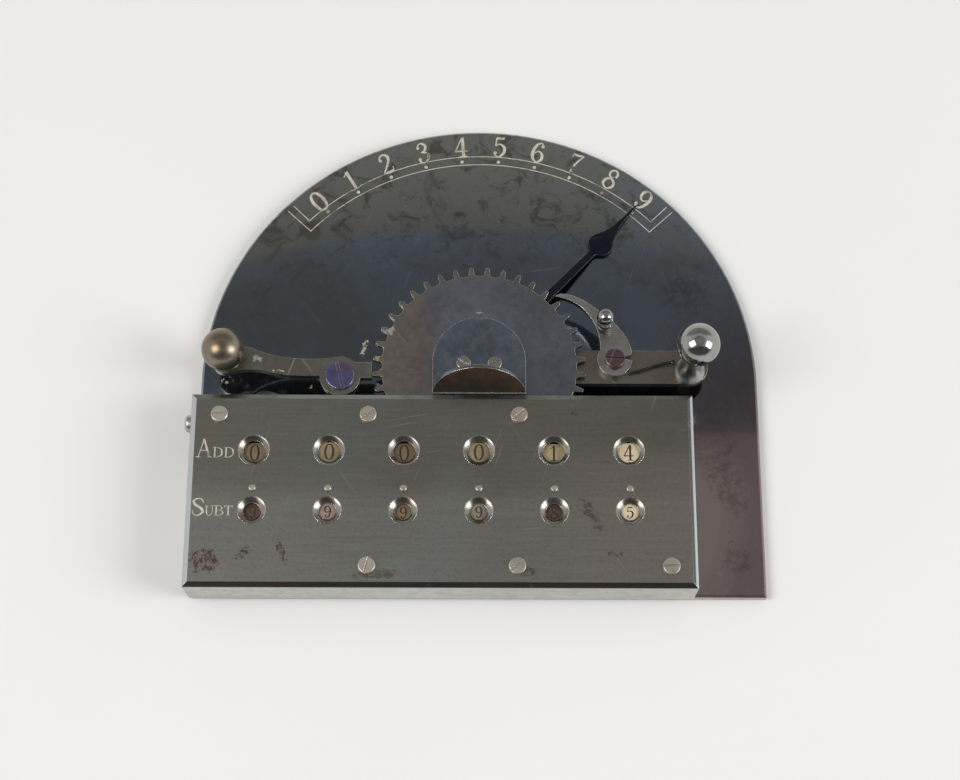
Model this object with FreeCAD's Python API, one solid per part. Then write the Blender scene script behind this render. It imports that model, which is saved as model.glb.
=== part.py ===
import FreeCAD, Part
import math
import os

# Half-round hand adding machine with a sliding register carriage.
# Millimetres. X runs along the carriage, Y runs from the front edge to the arched back, Z is up.
# The origin lies on the underside of the base plate, directly under the axis of the drive wheel.

os.makedirs("parts", exist_ok=True)

# ---- base plate -------------------------------------------------------------------------------
PLATE_RADIUS = 66.7
PLATE_ARC_Y = -0.8
PLATE_FRONT_Y = -53.2
PLATE_THICK = 2.7
PLATE_BEVEL = 0.45

# ---- guide rail and saddle --------------------------------------------------------------------
HINGE_Y = -13.0
HINGE_Z = 7.2
ROD_RADIUS = 1.5
ROD_HEAD_RADIUS = 2.1
ROD_HEAD_LONG = 2.2
RAIL_X0 = -66.0
RAIL_X1 = 49.0
RAIL_NECK_HALF = 2.0
RAIL_HEAD_HALF = 3.2
RAIL_NECK_TOP = 3.5
RAIL_TOP = 4.7
RAIL_SCREW_XS = (-58.0, -30.0, 12.0, 42.0)
SADDLE_X0 = -13.4
SADDLE_X1 = -4.0
SADDLE_HALF = 4.5
SADDLE_Z0 = 2.9
SADDLE_Z1 = 9.3
SLIDE_GAP = 0.06

# ---- drive wheel and thumb plate --------------------------------------------------------------
WHEEL_TEETH = 40
WHEEL_TIP_RADIUS = 25.2
WHEEL_ROOT_RADIUS = 23.0
WHEEL_Z0 = 10.5
WHEEL_Z1 = 11.8
# Each tooth profile lists (radius, half width) from the root to the pointed tip.
WHEEL_TOOTH = (
    (WHEEL_ROOT_RADIUS, 0.95), (23.35, 0.68), (24.6, 0.52), (25.05, 0.34), (WHEEL_TIP_RADIUS, 0.0),
)
BOSS_RADIUS = 5.4
BOSS_TOP = 14.8
FOOT_RADIUS = 10.9
FOOT_FRONT_Y = -8.0
SHEET = 0.8
FLANGE_LEAN = 16.0
THUMB_SCREW_X = 3.64
THUMB_SCREW_Y = -0.6

# ---- centre post ------------------------------------------------------------------------------
POST_RADIUS = 3.0
POST_NECK_RADIUS = 2.4
POST_FLANGE_RADIUS = 4.2
RUN_GAP = 0.05

# ---- set lever with its pawl ------------------------------------------------------------------
LEVER_Z0 = 8.0
LEVER_Z1 = 10.0
LEVER_HUB_RADIUS = 7.2
LEVER_HALF = 4.15
LEVER_Y = 0.6
LEVER_END_X = 50.0
KNOB_X = 49.75
KNOB_Y = -0.5
KNOB_BALL_Z = 28.6
KNOB_BALL_RADIUS = 5.0
POINTER_ANGLE = 49.5
POINTER_Z0 = 7.0
POINTER_Z1 = 8.0
POINTER_TIP_RADIUS = 59.8
STOP_RADIUS = 5.2
STOP_PIN_RADIUS = 0.55
STOP_ANGLE = 225.0
LEVER_SWING = 81.0
PAWL_X = 32.0
PAWL_Y = 1.9
PAWL_Z0 = 10.1
PAWL_Z1 = 11.8
PAWL_BOSS_RADIUS = 4.1
PAWL_KNOB_X = 29.7
PAWL_KNOB_Y = 11.0
PAWL_SPRING_PIN = (45.9, 1.7)
PAWL_SPRING_PIN_RADIUS = 0.5
RIVET_ANGLES = (20.0, 80.0, 280.0)
RIVET_CIRCLE = 5.6
RIVET_RADIUS = 0.7

# ---- hold lever -------------------------------------------------------------------------------
HOLD_X = -32.75
HOLD_Y = -2.4
HOLD_Z0 = 9.6
HOLD_Z1 = 11.6
HOLD_BOSS_RADIUS = 4.8
HOLD_KNOB_X = -59.7
HOLD_KNOB_Y = 1.9
HOLD_BALL_Z = 17.9
HOLD_NOSE_X = -25.35
HOLD_PIN = (-54.7, -6.9)
# The leaf spring lies just below the arm, so that the arm can swing out over it.
HOLD_SPRING_Z0 = 7.8
HOLD_SPRING_Z1 = 9.4
HOLD_SPRING_THICK = 0.5

# ---- register carriage ------------------------------------------------------------------------
CAR_X0 = -66.9
CAR_X1 = 49.7
CAR_Y0 = -53.7
CAR_Y1 = -7.9
END_BACK_Y = -8.3
WALL = 1.2
COVER_Z0 = 13.6
COVER_TOP = 14.7
COVER_BEVEL_WIDE = 1.2
COVER_BEVEL_DEEP = 0.7
FLOOR_Z0 = 3.2
FLOOR_Z1 = 4.4
FLOOR_BACK_Y = -18.5
PITCH = 17.3
COLUMNS = 6
REST_COLUMN = 4
ARBOR_Y = -30.6
ADD_Y = -21.6
SUB_Y = -35.9
ADD_SINK_RADIUS = 3.65
ADD_HOLE_RADIUS = 2.55
SUB_SINK_RADIUS = 3.3
SUB_HOLE_RADIUS = 2.0
REAR_SCREWS = ((-60.2, -12.9), (-25.7, -12.9), (9.3, -12.9))
FRONT_SCREWS = ((-25.3, -48.7), (8.8, -48.7), (43.6, -48.7))
REAR_SLOT_ANGLES = (5.0, 42.0, 40.0)
FRONT_SLOT_ANGLES = (75.0, 38.0, 3.0)
COVER_SCREW_HEAD = 2.0
REAR_BAR_FRONT_Y = -17.5
REAR_BAR_BACK_Y = -9.0
REAR_BAR_Z0 = 12.6
PILLAR_RADIUS = 2.4

# ---- number wheels ----------------------------------------------------------------------------
PINION_LEAVES = 10
PINION_TIP_RADIUS = 7.1
PINION_ROOT_RADIUS = 4.9
PINION_Z0 = 10.3
PINION_Z1 = 11.95
PINION_TOOTH = (
    (PINION_ROOT_RADIUS, 0.95), (5.4, 0.8), (6.4, 0.68), (6.95, 0.4), (PINION_TIP_RADIUS, 0.0),
)
DISC_RADIUS = 11.3
DISC_THICK = 0.5
DISC_LOW_Z = 12.1
DISC_HIGH_Z = 12.85
ARBOR_RADIUS = 2.0
PIVOT_RADIUS = 0.85
PIVOT_TOP = 15.1
PIVOT_CHAMFER = 0.25
STAR_RADIUS = 7.4
STAR_VALLEY = 6.5
STAR_Z0 = 4.9
STAR_Z1 = 6.1
FINGER_RADIUS = 9.8
SLEEVE_RADIUS = 3.0


def vec(x, y, z=0.0):
    return FreeCAD.Vector(x, y, z)


def cylinder(radius, z0, z1, x=0.0, y=0.0):
    return Part.makeCylinder(radius, z1 - z0, vec(x, y, z0))


def block(x0, x1, y0, y1, z0, z1):
    return Part.makeBox(x1 - x0, y1 - y0, z1 - z0, vec(x0, y0, z0))


def prism(points, z0, z1):
    wire = Part.makePolygon([vec(x, y, z0) for x, y in points] + [vec(points[0][0], points[0][1], z0)])
    return Part.Face(wire).extrude(vec(0, 0, z1 - z0))


def smooth_prism(curves, z0, z1):
    """Flat plate whose outline is a chain of smooth curves, each through its own points."""
    edges = []
    for points in curves:
        path = [vec(x, y, z0) for x, y in points]
        if len(path) == 2:
            edges.append(Part.makeLine(path[0], path[1]))
        else:
            curve = Part.BSplineCurve()
            curve.interpolate(path)
            edges.append(curve.toShape())
    return Part.Face(Part.Wire(edges)).extrude(vec(0, 0, z1 - z0))


def polar(radius, degrees, x=0.0, y=0.0):
    angle = math.radians(degrees)
    return (x + radius * math.cos(angle), y + radius * math.sin(angle))


def strip(points, thick, z0, z1):
    """Leaf spring standing on edge, following a line of points."""
    left = []
    right = []
    for i, (x, y) in enumerate(points):
        before = points[max(i - 1, 0)]
        after = points[min(i + 1, len(points) - 1)]
        length = math.hypot(after[0] - before[0], after[1] - before[1])
        nx = -(after[1] - before[1]) / length * thick / 2
        ny = (after[0] - before[0]) / length * thick / 2
        left.append((x + nx, y + ny))
        right.append((x - nx, y - ny))
    return prism(left + right[::-1], z0, z1)


def slotted_screw(x, y, seat_z, head_radius, head_high, shank_radius, shank_z, slot_angle, slot_wide=0.55):
    """Cheese-head screw with a straight driver slot and a slightly broken top edge."""
    top = seat_z + head_high
    edge = 0.2
    head = cylinder(head_radius, seat_z, top - edge, x, y)
    crown = Part.makeCone(head_radius, head_radius - edge, edge, vec(x, y, top - edge))
    shank = cylinder(shank_radius, shank_z, seat_z, x, y)
    slot = block(-head_radius, head_radius, -slot_wide / 2, slot_wide / 2, top - 0.4, top + 0.1)
    slot.rotate(vec(0, 0, 0), vec(0, 0, 1), slot_angle)
    slot.translate(vec(x, y, 0))
    return head.fuse([crown, shank]).cut(slot).removeSplitter()


def ball_knob(x, y, seat_z, collar_high, ball_z, ball_radius, foot_radius, waist_radius, peg_radius, peg_z):
    """Turned knob: a peg, a collar, a waisted stem and a ball."""
    collar_z = seat_z + collar_high
    join_z = ball_z - math.sqrt(ball_radius ** 2 - (waist_radius + 0.6) ** 2)
    stem_high = join_z - collar_z
    shoulder_z = collar_z + min(0.7, 0.25 * stem_high)
    waist_z = collar_z + 0.55 * stem_high
    start = vec(0, 0, peg_z)
    edges = [
        Part.makeLine(start, vec(peg_radius, 0, peg_z)),
        Part.makeLine(vec(peg_radius, 0, peg_z), vec(peg_radius, 0, seat_z)),
        Part.makeLine(vec(peg_radius, 0, seat_z), vec(foot_radius, 0, seat_z)),
        Part.makeLine(vec(foot_radius, 0, seat_z), vec(foot_radius, 0, collar_z)),
    ]
    stem = Part.BSplineCurve()
    stem.interpolate([
        vec(foot_radius, 0, collar_z),
        vec(foot_radius * 0.82, 0, shoulder_z),
        vec(waist_radius, 0, waist_z),
        vec(waist_radius + 0.6, 0, join_z),
    ])
    edges.append(stem.toShape())
    edges.append(Part.Arc(
        vec(waist_radius + 0.6, 0, join_z),
        vec(ball_radius, 0, ball_z),
        vec(0, 0, ball_z + ball_radius),
    ).toShape())
    edges.append(Part.makeLine(vec(0, 0, ball_z + ball_radius), start))
    solid = Part.Face(Part.Wire(edges)).revolve(vec(0, 0, 0), vec(0, 0, 1), 360)
    solid.translate(vec(x, y, 0))
    return solid


def toothed_outline(count, first_angle, profile, x=0.0, y=0.0):
    """Closed outline of a toothed wheel; profile lists (radius, half width) from root to tip."""
    points = []
    for i in range(count):
        angle = first_angle + i * 360.0 / count
        for radius, half in profile:
            points.append(polar(radius, angle - math.degrees(math.asin(half / radius)), x, y))
        for radius, half in reversed(profile[:-1] if profile[-1][1] == 0 else profile):
            points.append(polar(radius, angle + math.degrees(math.asin(half / radius)), x, y))
    return points


def column_x(k):
    return (k - REST_COLUMN) * PITCH


def save(name, shape):
    if isinstance(shape, list):
        shape = Part.makeCompound(shape)
    shape.exportStep("parts/%s.step" % name)


# ---- base body ----------------------------------------------------------------------------------
def base_plate():
    left = vec(-PLATE_RADIUS, PLATE_ARC_Y)
    right = vec(PLATE_RADIUS, PLATE_ARC_Y)
    crown = vec(0, PLATE_ARC_Y + PLATE_RADIUS)
    outline = Part.Wire([
        Part.Arc(right, crown, left).toShape(),
        Part.makeLine(left, vec(-PLATE_RADIUS, PLATE_FRONT_Y)),
        Part.makeLine(vec(-PLATE_RADIUS, PLATE_FRONT_Y), vec(PLATE_RADIUS, PLATE_FRONT_Y)),
        Part.makeLine(vec(PLATE_RADIUS, PLATE_FRONT_Y), right),
    ])
    plate = Part.Face(outline).extrude(vec(0, 0, PLATE_THICK))
    rim = [e for e in plate.Edges if all(abs(v.Z - PLATE_THICK) < 1e-6 for v in e.Vertexes)]
    plate = plate.makeChamfer(PLATE_BEVEL, rim)
    holes = [
        cylinder(POST_NECK_RADIUS, 0.7, PLATE_THICK),
        cylinder(1.6, 0.7, PLATE_THICK, HOLD_X, HOLD_Y),
        cylinder(0.8, 1.0, PLATE_THICK, *HOLD_PIN),
        cylinder(STOP_PIN_RADIUS, 1.0, PLATE_THICK, *polar(STOP_RADIUS, STOP_ANGLE)),
    ]
    holes += [cylinder(0.9, 0.8, PLATE_THICK, x, HINGE_Y) for x in RAIL_SCREW_XS]
    return plate.cut(holes)


def centre_post():
    foot = cylinder(POST_FLANGE_RADIUS, PLATE_THICK, 6.9)
    journal = cylinder(POST_RADIUS, 6.9, 10.2)
    neck = cylinder(POST_NECK_RADIUS, 10.2, 12.9)
    peg = cylinder(POST_NECK_RADIUS, 0.7, PLATE_THICK)
    return foot.fuse([journal, neck, peg]).removeSplitter()


def lever_stop_pin():
    x, y = polar(STOP_RADIUS, STOP_ANGLE)
    return cylinder(STOP_PIN_RADIUS, 1.0, 9.8, x, y)


def rail_bar(half_width, z0, z1):
    return block(RAIL_X0, RAIL_X1, HINGE_Y - half_width, HINGE_Y + half_width, z0, z1)


def guide_rail():
    neck = rail_bar(RAIL_NECK_HALF, PLATE_THICK, RAIL_NECK_TOP)
    head = rail_bar(RAIL_HEAD_HALF, RAIL_NECK_TOP, RAIL_TOP)
    rail = neck.fuse(head).removeSplitter()
    for x in RAIL_SCREW_XS:
        rail = rail.cut(cylinder(0.9, PLATE_THICK, 3.8, x, HINGE_Y))
        rail = rail.cut(cylinder(1.7, 3.8, RAIL_TOP, x, HINGE_Y))
    return rail


def guide_rail_screws():
    return [slotted_screw(x, HINGE_Y, 3.8, 1.7, 0.8, 0.9, 0.8, 25.0 + 40.0 * i, 0.45)
            for i, x in enumerate(RAIL_SCREW_XS)]


def hold_lever_post():
    foot = cylinder(3.4, PLATE_THICK, 3.7, HOLD_X, HOLD_Y)
    body = cylinder(2.6, 3.7, HOLD_Z0 - 0.1, HOLD_X, HOLD_Y)
    journal = cylinder(1.9, HOLD_Z0 - 0.1, HOLD_Z1 + 0.1, HOLD_X, HOLD_Y)
    peg = cylinder(1.6, 0.7, PLATE_THICK, HOLD_X, HOLD_Y)
    thread = cylinder(1.1, 6.0, HOLD_Z1 + 0.1, HOLD_X, HOLD_Y)
    return foot.fuse([body, journal, peg]).cut(thread).removeSplitter()


def hold_lever_screw():
    return slotted_screw(HOLD_X, HOLD_Y, HOLD_Z1 + 0.1, 3.5, 0.65, 1.1, 6.0, 104.0, 0.7)


def hold_spring():
    start = (HOLD_PIN[0] + 0.75, HOLD_PIN[1] + 0.55)
    path = [
        start, (-52.4, -5.05), (-50.2, -3.85), (-47.5, -2.9), (-44.4, -2.45), (-41.0, -2.25), (-38.2, -2.2),
    ]
    return strip(path, HOLD_SPRING_THICK, HOLD_SPRING_Z0, HOLD_SPRING_Z1)


def hold_spring_pin():
    return cylinder(0.8, 1.0, 11.4, *HOLD_PIN)


# ---- drive wheel body ---------------------------------------------------------------------------
def thumb_screw_holes(z0, z1):
    return [cylinder(0.9, z0, z1, side * THUMB_SCREW_X, THUMB_SCREW_Y) for side in (-1, 1)]


def drive_wheel():
    points = toothed_outline(WHEEL_TEETH, 360.0 / WHEEL_TEETH / 2, WHEEL_TOOTH)
    wheel = prism(points, WHEEL_Z0, WHEEL_Z1)
    wheel = wheel.cut(cylinder(POST_NECK_RADIUS + RUN_GAP, WHEEL_Z0, WHEEL_Z1))
    return wheel.cut(thumb_screw_holes(WHEEL_Z0, WHEEL_Z1))


def wheel_boss():
    boss = cylinder(BOSS_RADIUS, WHEEL_Z1, BOSS_TOP)
    boss = boss.cut(cylinder(POST_NECK_RADIUS + RUN_GAP, WHEEL_Z1, 13.1))
    return boss.cut(thumb_screw_holes(WHEEL_Z1, BOSS_TOP))


def thumb_plate():
    disc = cylinder(FOOT_RADIUS, BOSS_TOP, BOSS_TOP + SHEET)
    back_half = disc.common(block(-20, 20, 0, 20, 0, 40))
    apron = block(-FOOT_RADIUS, FOOT_RADIUS, FOOT_FRONT_Y, 0, BOSS_TOP, BOSS_TOP + SHEET)
    flange = Part.makeCylinder(FOOT_RADIUS, SHEET, vec(0, 0, 0), vec(0, 1, 0))
    flange = flange.common(block(-20, 20, -5, 5, 0, 20))
    flange.rotate(vec(0, 0, 0), vec(1, 0, 0), -FLANGE_LEAN)
    flange.translate(vec(0, FOOT_FRONT_Y, BOSS_TOP + 0.02))
    flange = flange.common(block(-20, 20, -20, 20, BOSS_TOP, BOSS_TOP + 20))
    plate = back_half.fuse([apron, flange]).removeSplitter()
    return plate.cut(thumb_screw_holes(BOSS_TOP, BOSS_TOP + SHEET))


def thumb_plate_screws():
    seat = BOSS_TOP + SHEET
    return [slotted_screw(s * THUMB_SCREW_X, THUMB_SCREW_Y, seat, 1.7, 0.7, 0.9, WHEEL_Z0, 30.0 * s, 0.45)
            for s in (-1, 1)]


# ---- set lever body -----------------------------------------------------------------------------
def stop_slot(z0, z1):
    """Curved slot that lets the fixed stop pin pass while the lever swings through its range."""
    inner = STOP_RADIUS - STOP_PIN_RADIUS - 0.1
    outer = STOP_RADIUS + STOP_PIN_RADIUS + 0.1
    ring = cylinder(outer, z0, z1).cut(cylinder(inner, z0, z1))
    wedge = [(0.0, 0.0)]
    steps = 8
    for i in range(steps + 1):
        wedge.append(polar(12.0, STOP_ANGLE - LEVER_SWING + LEVER_SWING * i / steps))
    slot = ring.common(prism(wedge, z0, z1))
    ends = [cylinder(STOP_PIN_RADIUS + 0.1, z0, z1, *polar(STOP_RADIUS, STOP_ANGLE)),
            cylinder(STOP_PIN_RADIUS + 0.1, z0, z1, *polar(STOP_RADIUS, STOP_ANGLE - LEVER_SWING))]
    return slot.fuse(ends).removeSplitter()


def lever_arm():
    hub = cylinder(LEVER_HUB_RADIUS, LEVER_Z0, LEVER_Z1)
    bar = block(0, LEVER_END_X, LEVER_Y - LEVER_HALF, LEVER_Y + LEVER_HALF, LEVER_Z0, LEVER_Z1)
    tip = cylinder(LEVER_HALF, LEVER_Z0, LEVER_Z1, LEVER_END_X, LEVER_Y)
    arm = hub.fuse([bar, tip]).removeSplitter()
    cuts = [
        cylinder(POST_RADIUS + RUN_GAP, LEVER_Z0, LEVER_Z1),
        cylinder(1.2, LEVER_Z0, LEVER_Z1, PAWL_X, PAWL_Y),
        cylinder(1.5, LEVER_Z0, LEVER_Z1, KNOB_X, KNOB_Y),
        cylinder(PAWL_SPRING_PIN_RADIUS, LEVER_Z0 + 0.6, LEVER_Z1, *PAWL_SPRING_PIN),
        stop_slot(LEVER_Z0, LEVER_Z1),
    ]
    cuts += [cylinder(RIVET_RADIUS, LEVER_Z0, LEVER_Z1, *polar(RIVET_CIRCLE, a)) for a in RIVET_ANGLES]
    return arm.cut(cuts)


def pointer():
    ring = cylinder(LEVER_HUB_RADIUS, POINTER_Z0, POINTER_Z1)
    side = [
        (6.0, POINTER_Z0), (26.5, POINTER_Z0), (44.0, 3.0), (POINTER_TIP_RADIUS, 3.0),
        (POINTER_TIP_RADIUS, 3.7), (44.2, 3.9), (26.8, POINTER_Z1), (6.0, POINTER_Z1),
    ]
    wire = Part.makePolygon([vec(r, -6, z) for r, z in side + side[:1]])
    crank = Part.Face(wire).extrude(vec(0, 12, 0))
    shank = 0.8
    neck = 42.2
    leaf = [
        (neck, shank), (43.2, 1.4), (44.0, 2.4), (45.8, 3.0), (48.0, 2.1), (50.8, 1.0), (55.0, 0.42),
        (POINTER_TIP_RADIUS, 0.1),
    ]
    mirrored = [(r, -half) for r, half in reversed(leaf)]
    blade = smooth_prism([leaf, [leaf[-1], mirrored[0]], mirrored, [mirrored[-1], leaf[0]]], 0, 12)
    stem = prism([
        (5.0, -1.7), (26.0, -0.95), (neck + 0.2, -shank),
        (neck + 0.2, shank), (26.0, 0.95), (5.0, 1.7),
    ], 0, 12)
    plan = stem.fuse(blade)
    hand = crank.common(plan)
    hand.rotate(vec(0, 0, 0), vec(0, 0, 1), POINTER_ANGLE)
    cuts = [cylinder(POST_RADIUS + RUN_GAP, POINTER_Z0, POINTER_Z1), stop_slot(POINTER_Z0, POINTER_Z1)]
    for angle in RIVET_ANGLES:
        cuts.append(cylinder(RIVET_RADIUS, POINTER_Z0, POINTER_Z1, *polar(RIVET_CIRCLE, angle)))
    return ring.fuse(hand).removeSplitter().cut(cuts)


def pointer_rivets():
    return [cylinder(RIVET_RADIUS, POINTER_Z0, LEVER_Z1, *polar(RIVET_CIRCLE, a)) for a in RIVET_ANGLES]


def lever_knob():
    x, y = KNOB_X, KNOB_Y
    return ball_knob(x, y, LEVER_Z1, 0.9, KNOB_BALL_Z, KNOB_BALL_RADIUS, 3.5, 1.95, 1.5, LEVER_Z0)


def pawl_screw():
    return slotted_screw(PAWL_X, PAWL_Y, PAWL_Z1 + 0.1, 2.4, 1.0, 1.2, LEVER_Z0, -4.0, 0.5)


def pawl_spring():
    end = (PAWL_SPRING_PIN[0] - 0.55, PAWL_SPRING_PIN[1])
    path = [(35.4, -1.1), (38.3, -0.4), (41.3, 0.6), (43.4, 1.25), end]
    return strip(path, 0.4, LEVER_Z1 + 0.1, 11.2)


def pawl_spring_pin():
    return cylinder(PAWL_SPRING_PIN_RADIUS, LEVER_Z0 + 0.6, 11.1, *PAWL_SPRING_PIN)


# ---- drive pawl body ----------------------------------------------------------------------------
def drive_pawl():
    outer = [
        (36.0, 3.2), (35.8, 5.0), (33.8, 8.9), (31.6, 11.6),
        (28.0, 14.6), (25.0, 16.8), (22.3, 18.0), (19.2, 18.5),
    ]
    inner = [
        (18.05, 17.85), (20.4, 17.25), (22.0, 16.6), (25.1, 14.3), (27.4, 10.7), (28.5, 7.0), (28.6, 4.0),
    ]
    blade = smooth_prism([outer, [outer[-1], inner[0]], inner, [inner[-1], outer[0]]], PAWL_Z0, PAWL_Z1)
    boss = cylinder(PAWL_BOSS_RADIUS, PAWL_Z0, PAWL_Z1, PAWL_X, PAWL_Y)
    notch = prism([(33.6, 2.3), (37.2, 1.3), (37.2, 3.6)], PAWL_Z0, PAWL_Z1)
    pawl = boss.fuse(blade).cut(notch).removeSplitter()
    return pawl.cut([
        cylinder(1.2 + RUN_GAP, PAWL_Z0, PAWL_Z1, PAWL_X, PAWL_Y),
        cylinder(0.7, PAWL_Z0, PAWL_Z1, PAWL_KNOB_X, PAWL_KNOB_Y),
    ])


def drive_pawl_knob():
    return ball_knob(PAWL_KNOB_X, PAWL_KNOB_Y, PAWL_Z1, 0.4, 15.9, 2.05, 1.75, 0.9, 0.7, PAWL_Z0)


# ---- hold lever body ----------------------------------------------------------------------------
def hold_lever():
    upper = [
        (-59.0, 5.3), (-55.7, 5.1), (-50.5, 3.3), (-46.1, 2.3), (-41.4, 1.9), (-36.5, 2.0), (-33.5, 2.3),
    ]
    lower = [
        (-33.5, -3.0), (-37.7, -2.35), (-44.3, -2.25), (-47.8, -1.8),
        (-51.0, -1.1), (-54.0, -0.8), (-59.0, -1.6),
    ]
    blade = smooth_prism([upper, [upper[-1], lower[0]], lower, [lower[-1], upper[0]]], HOLD_Z0, HOLD_Z1)
    boss = cylinder(HOLD_BOSS_RADIUS, HOLD_Z0, HOLD_Z1, HOLD_X, HOLD_Y)
    pad = cylinder(3.7, HOLD_Z0, HOLD_Z1, HOLD_KNOB_X, HOLD_KNOB_Y)
    nose = block(HOLD_X, HOLD_NOSE_X, -2.9, 1.1, HOLD_Z0, HOLD_Z1)
    lever = boss.fuse([blade, pad, nose]).removeSplitter()
    return lever.cut([
        cylinder(1.9 + RUN_GAP, HOLD_Z0, HOLD_Z1, HOLD_X, HOLD_Y),
        cylinder(1.5, HOLD_Z0, HOLD_Z1, HOLD_KNOB_X, HOLD_KNOB_Y),
    ])


def hold_lever_knob():
    x, y = HOLD_KNOB_X, HOLD_KNOB_Y
    return ball_knob(x, y, HOLD_Z1, 0.4, HOLD_BALL_Z, KNOB_BALL_RADIUS, 3.3, 2.2, 1.5, HOLD_Z0)


# ---- saddle body --------------------------------------------------------------------------------
def saddle_block():
    body = block(SADDLE_X0, SADDLE_X1, HINGE_Y - SADDLE_HALF, HINGE_Y + SADDLE_HALF, SADDLE_Z0, SADDLE_Z1)
    head = block(
        SADDLE_X0, SADDLE_X1,
        HINGE_Y - RAIL_HEAD_HALF - SLIDE_GAP, HINGE_Y + RAIL_HEAD_HALF + SLIDE_GAP,
        RAIL_NECK_TOP - SLIDE_GAP, RAIL_TOP + SLIDE_GAP,
    )
    neck = block(
        SADDLE_X0, SADDLE_X1,
        HINGE_Y - RAIL_NECK_HALF - SLIDE_GAP, HINGE_Y + RAIL_NECK_HALF + SLIDE_GAP,
        SADDLE_Z0, RAIL_NECK_TOP,
    )
    start = vec(SADDLE_X0, HINGE_Y, HINGE_Z)
    bore = Part.makeCylinder(ROD_RADIUS, SADDLE_X1 - SADDLE_X0, start, vec(1, 0, 0))
    return body.cut([head, neck, bore])


def hinge_rod():
    """Rod through both end walls, with a rounded head outside the left one."""
    x0 = CAR_X0 - 0.1
    x1 = CAR_X1 + 0.6
    rod = Part.makeCylinder(ROD_RADIUS, x1 - x0, vec(x0, HINGE_Y, HINGE_Z), vec(1, 0, 0))
    head_x = x0 - ROD_HEAD_LONG
    head = Part.makeCylinder(ROD_HEAD_RADIUS, ROD_HEAD_LONG, vec(head_x, HINGE_Y, HINGE_Z), vec(1, 0, 0))
    end = [e for e in head.Edges if all(abs(v.X - head_x) < 1e-6 for v in e.Vertexes)]
    return rod.fuse(head.makeFillet(0.9, end[:1])).removeSplitter()


# ---- carriage body ------------------------------------------------------------------------------
def rectangle(x0, x1, y0, y1, z):
    corners = [(x0, y0), (x1, y0), (x1, y1), (x0, y1), (x0, y0)]
    return Part.makePolygon([vec(x, y, z) for x, y in corners])


def countersunk_window(x, y, sink_radius, hole_radius):
    depth = 0.85
    cone = Part.makeCone(hole_radius, sink_radius, depth, vec(x, y, COVER_TOP - depth))
    hole = cylinder(hole_radius, COVER_Z0, COVER_TOP, x, y)
    return cone.fuse(hole)


def carriage_cover():
    shelf_z = COVER_TOP - COVER_BEVEL_DEEP
    slab = block(CAR_X0, CAR_X1, CAR_Y0, CAR_Y1, COVER_Z0, shelf_z)
    b = COVER_BEVEL_WIDE
    crown = Part.makeLoft([
        rectangle(CAR_X0, CAR_X1, CAR_Y0, CAR_Y1, shelf_z),
        rectangle(CAR_X0 + b, CAR_X1 - b, CAR_Y0 + b, CAR_Y1 - b, COVER_TOP),
    ], True)
    cover = slab.fuse(crown).removeSplitter()
    cuts = []
    for k in range(1, COLUMNS + 1):
        x = column_x(k)
        cuts.append(countersunk_window(x, ADD_Y, ADD_SINK_RADIUS, ADD_HOLE_RADIUS))
        cuts.append(countersunk_window(x, SUB_Y, SUB_SINK_RADIUS, SUB_HOLE_RADIUS))
        cuts.append(cylinder(PIVOT_RADIUS + RUN_GAP, COVER_Z0, COVER_TOP, x, ARBOR_Y))
    for x, y in REAR_SCREWS + FRONT_SCREWS:
        cuts.append(cylinder(1.0, COVER_Z0, COVER_TOP, x, y))
    return cover.cut(cuts)


def carriage_front_wall():
    return block(CAR_X0, CAR_X1, CAR_Y0, CAR_Y0 + WALL, PLATE_THICK + 0.05, COVER_Z0)


def end_wall(x0):
    """Side plate, cut away where the drive wheel passes through and above the guide rail."""
    front = CAR_Y0 + WALL
    profile = [
        (front, PLATE_THICK + 0.1), (-21.5, PLATE_THICK + 0.1), (-18.2, 5.9), (END_BACK_Y, 5.9),
        (END_BACK_Y, 9.9), (-15.2, 9.9), (-26.5, 8.0), (-26.5, 12.8), (END_BACK_Y, 12.8),
        (END_BACK_Y, COVER_Z0), (front, COVER_Z0),
    ]
    wire = Part.makePolygon([vec(x0, y, z) for y, z in profile + profile[:1]])
    wall = Part.Face(wire).extrude(vec(WALL, 0, 0))
    bore = Part.makeCylinder(ROD_RADIUS + RUN_GAP, WALL, vec(x0, HINGE_Y, HINGE_Z), vec(1, 0, 0))
    return wall.cut(bore)


def carriage_floor():
    slab = block(CAR_X0 + WALL, CAR_X1 - WALL, CAR_Y0 + WALL, FLOOR_BACK_Y, FLOOR_Z0, FLOOR_Z1)
    for k in range(1, COLUMNS + 1):
        slab = slab.cut(cylinder(0.8 + RUN_GAP, FLOOR_Z0, FLOOR_Z1, column_x(k), ARBOR_Y))
    return slab


def carriage_back_rail():
    bar = block(CAR_X0 + WALL, CAR_X1 - WALL, REAR_BAR_FRONT_Y, REAR_BAR_BACK_Y, REAR_BAR_Z0, COVER_Z0)
    return bar.cut([cylinder(1.0, REAR_BAR_Z0 + 0.2, COVER_Z0, x, y) for x, y in REAR_SCREWS])


def cover_pillars():
    return [cylinder(PILLAR_RADIUS, FLOOR_Z1, COVER_Z0, x, y).cut(cylinder(1.0, 9.0, COVER_Z0, x, y))
            for x, y in FRONT_SCREWS]


def cover_screws():
    def screw(x, y, end_z, slot_angle):
        return slotted_screw(x, y, COVER_TOP, COVER_SCREW_HEAD, 0.6, 1.0, end_z, slot_angle, 0.5)

    rear = [screw(x, y, REAR_BAR_Z0 + 0.2, turn) for (x, y), turn in zip(REAR_SCREWS, REAR_SLOT_ANGLES)]
    front = [screw(x, y, 9.0, turn) for (x, y), turn in zip(FRONT_SCREWS, FRONT_SLOT_ANGLES)]
    return rear + front


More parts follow.
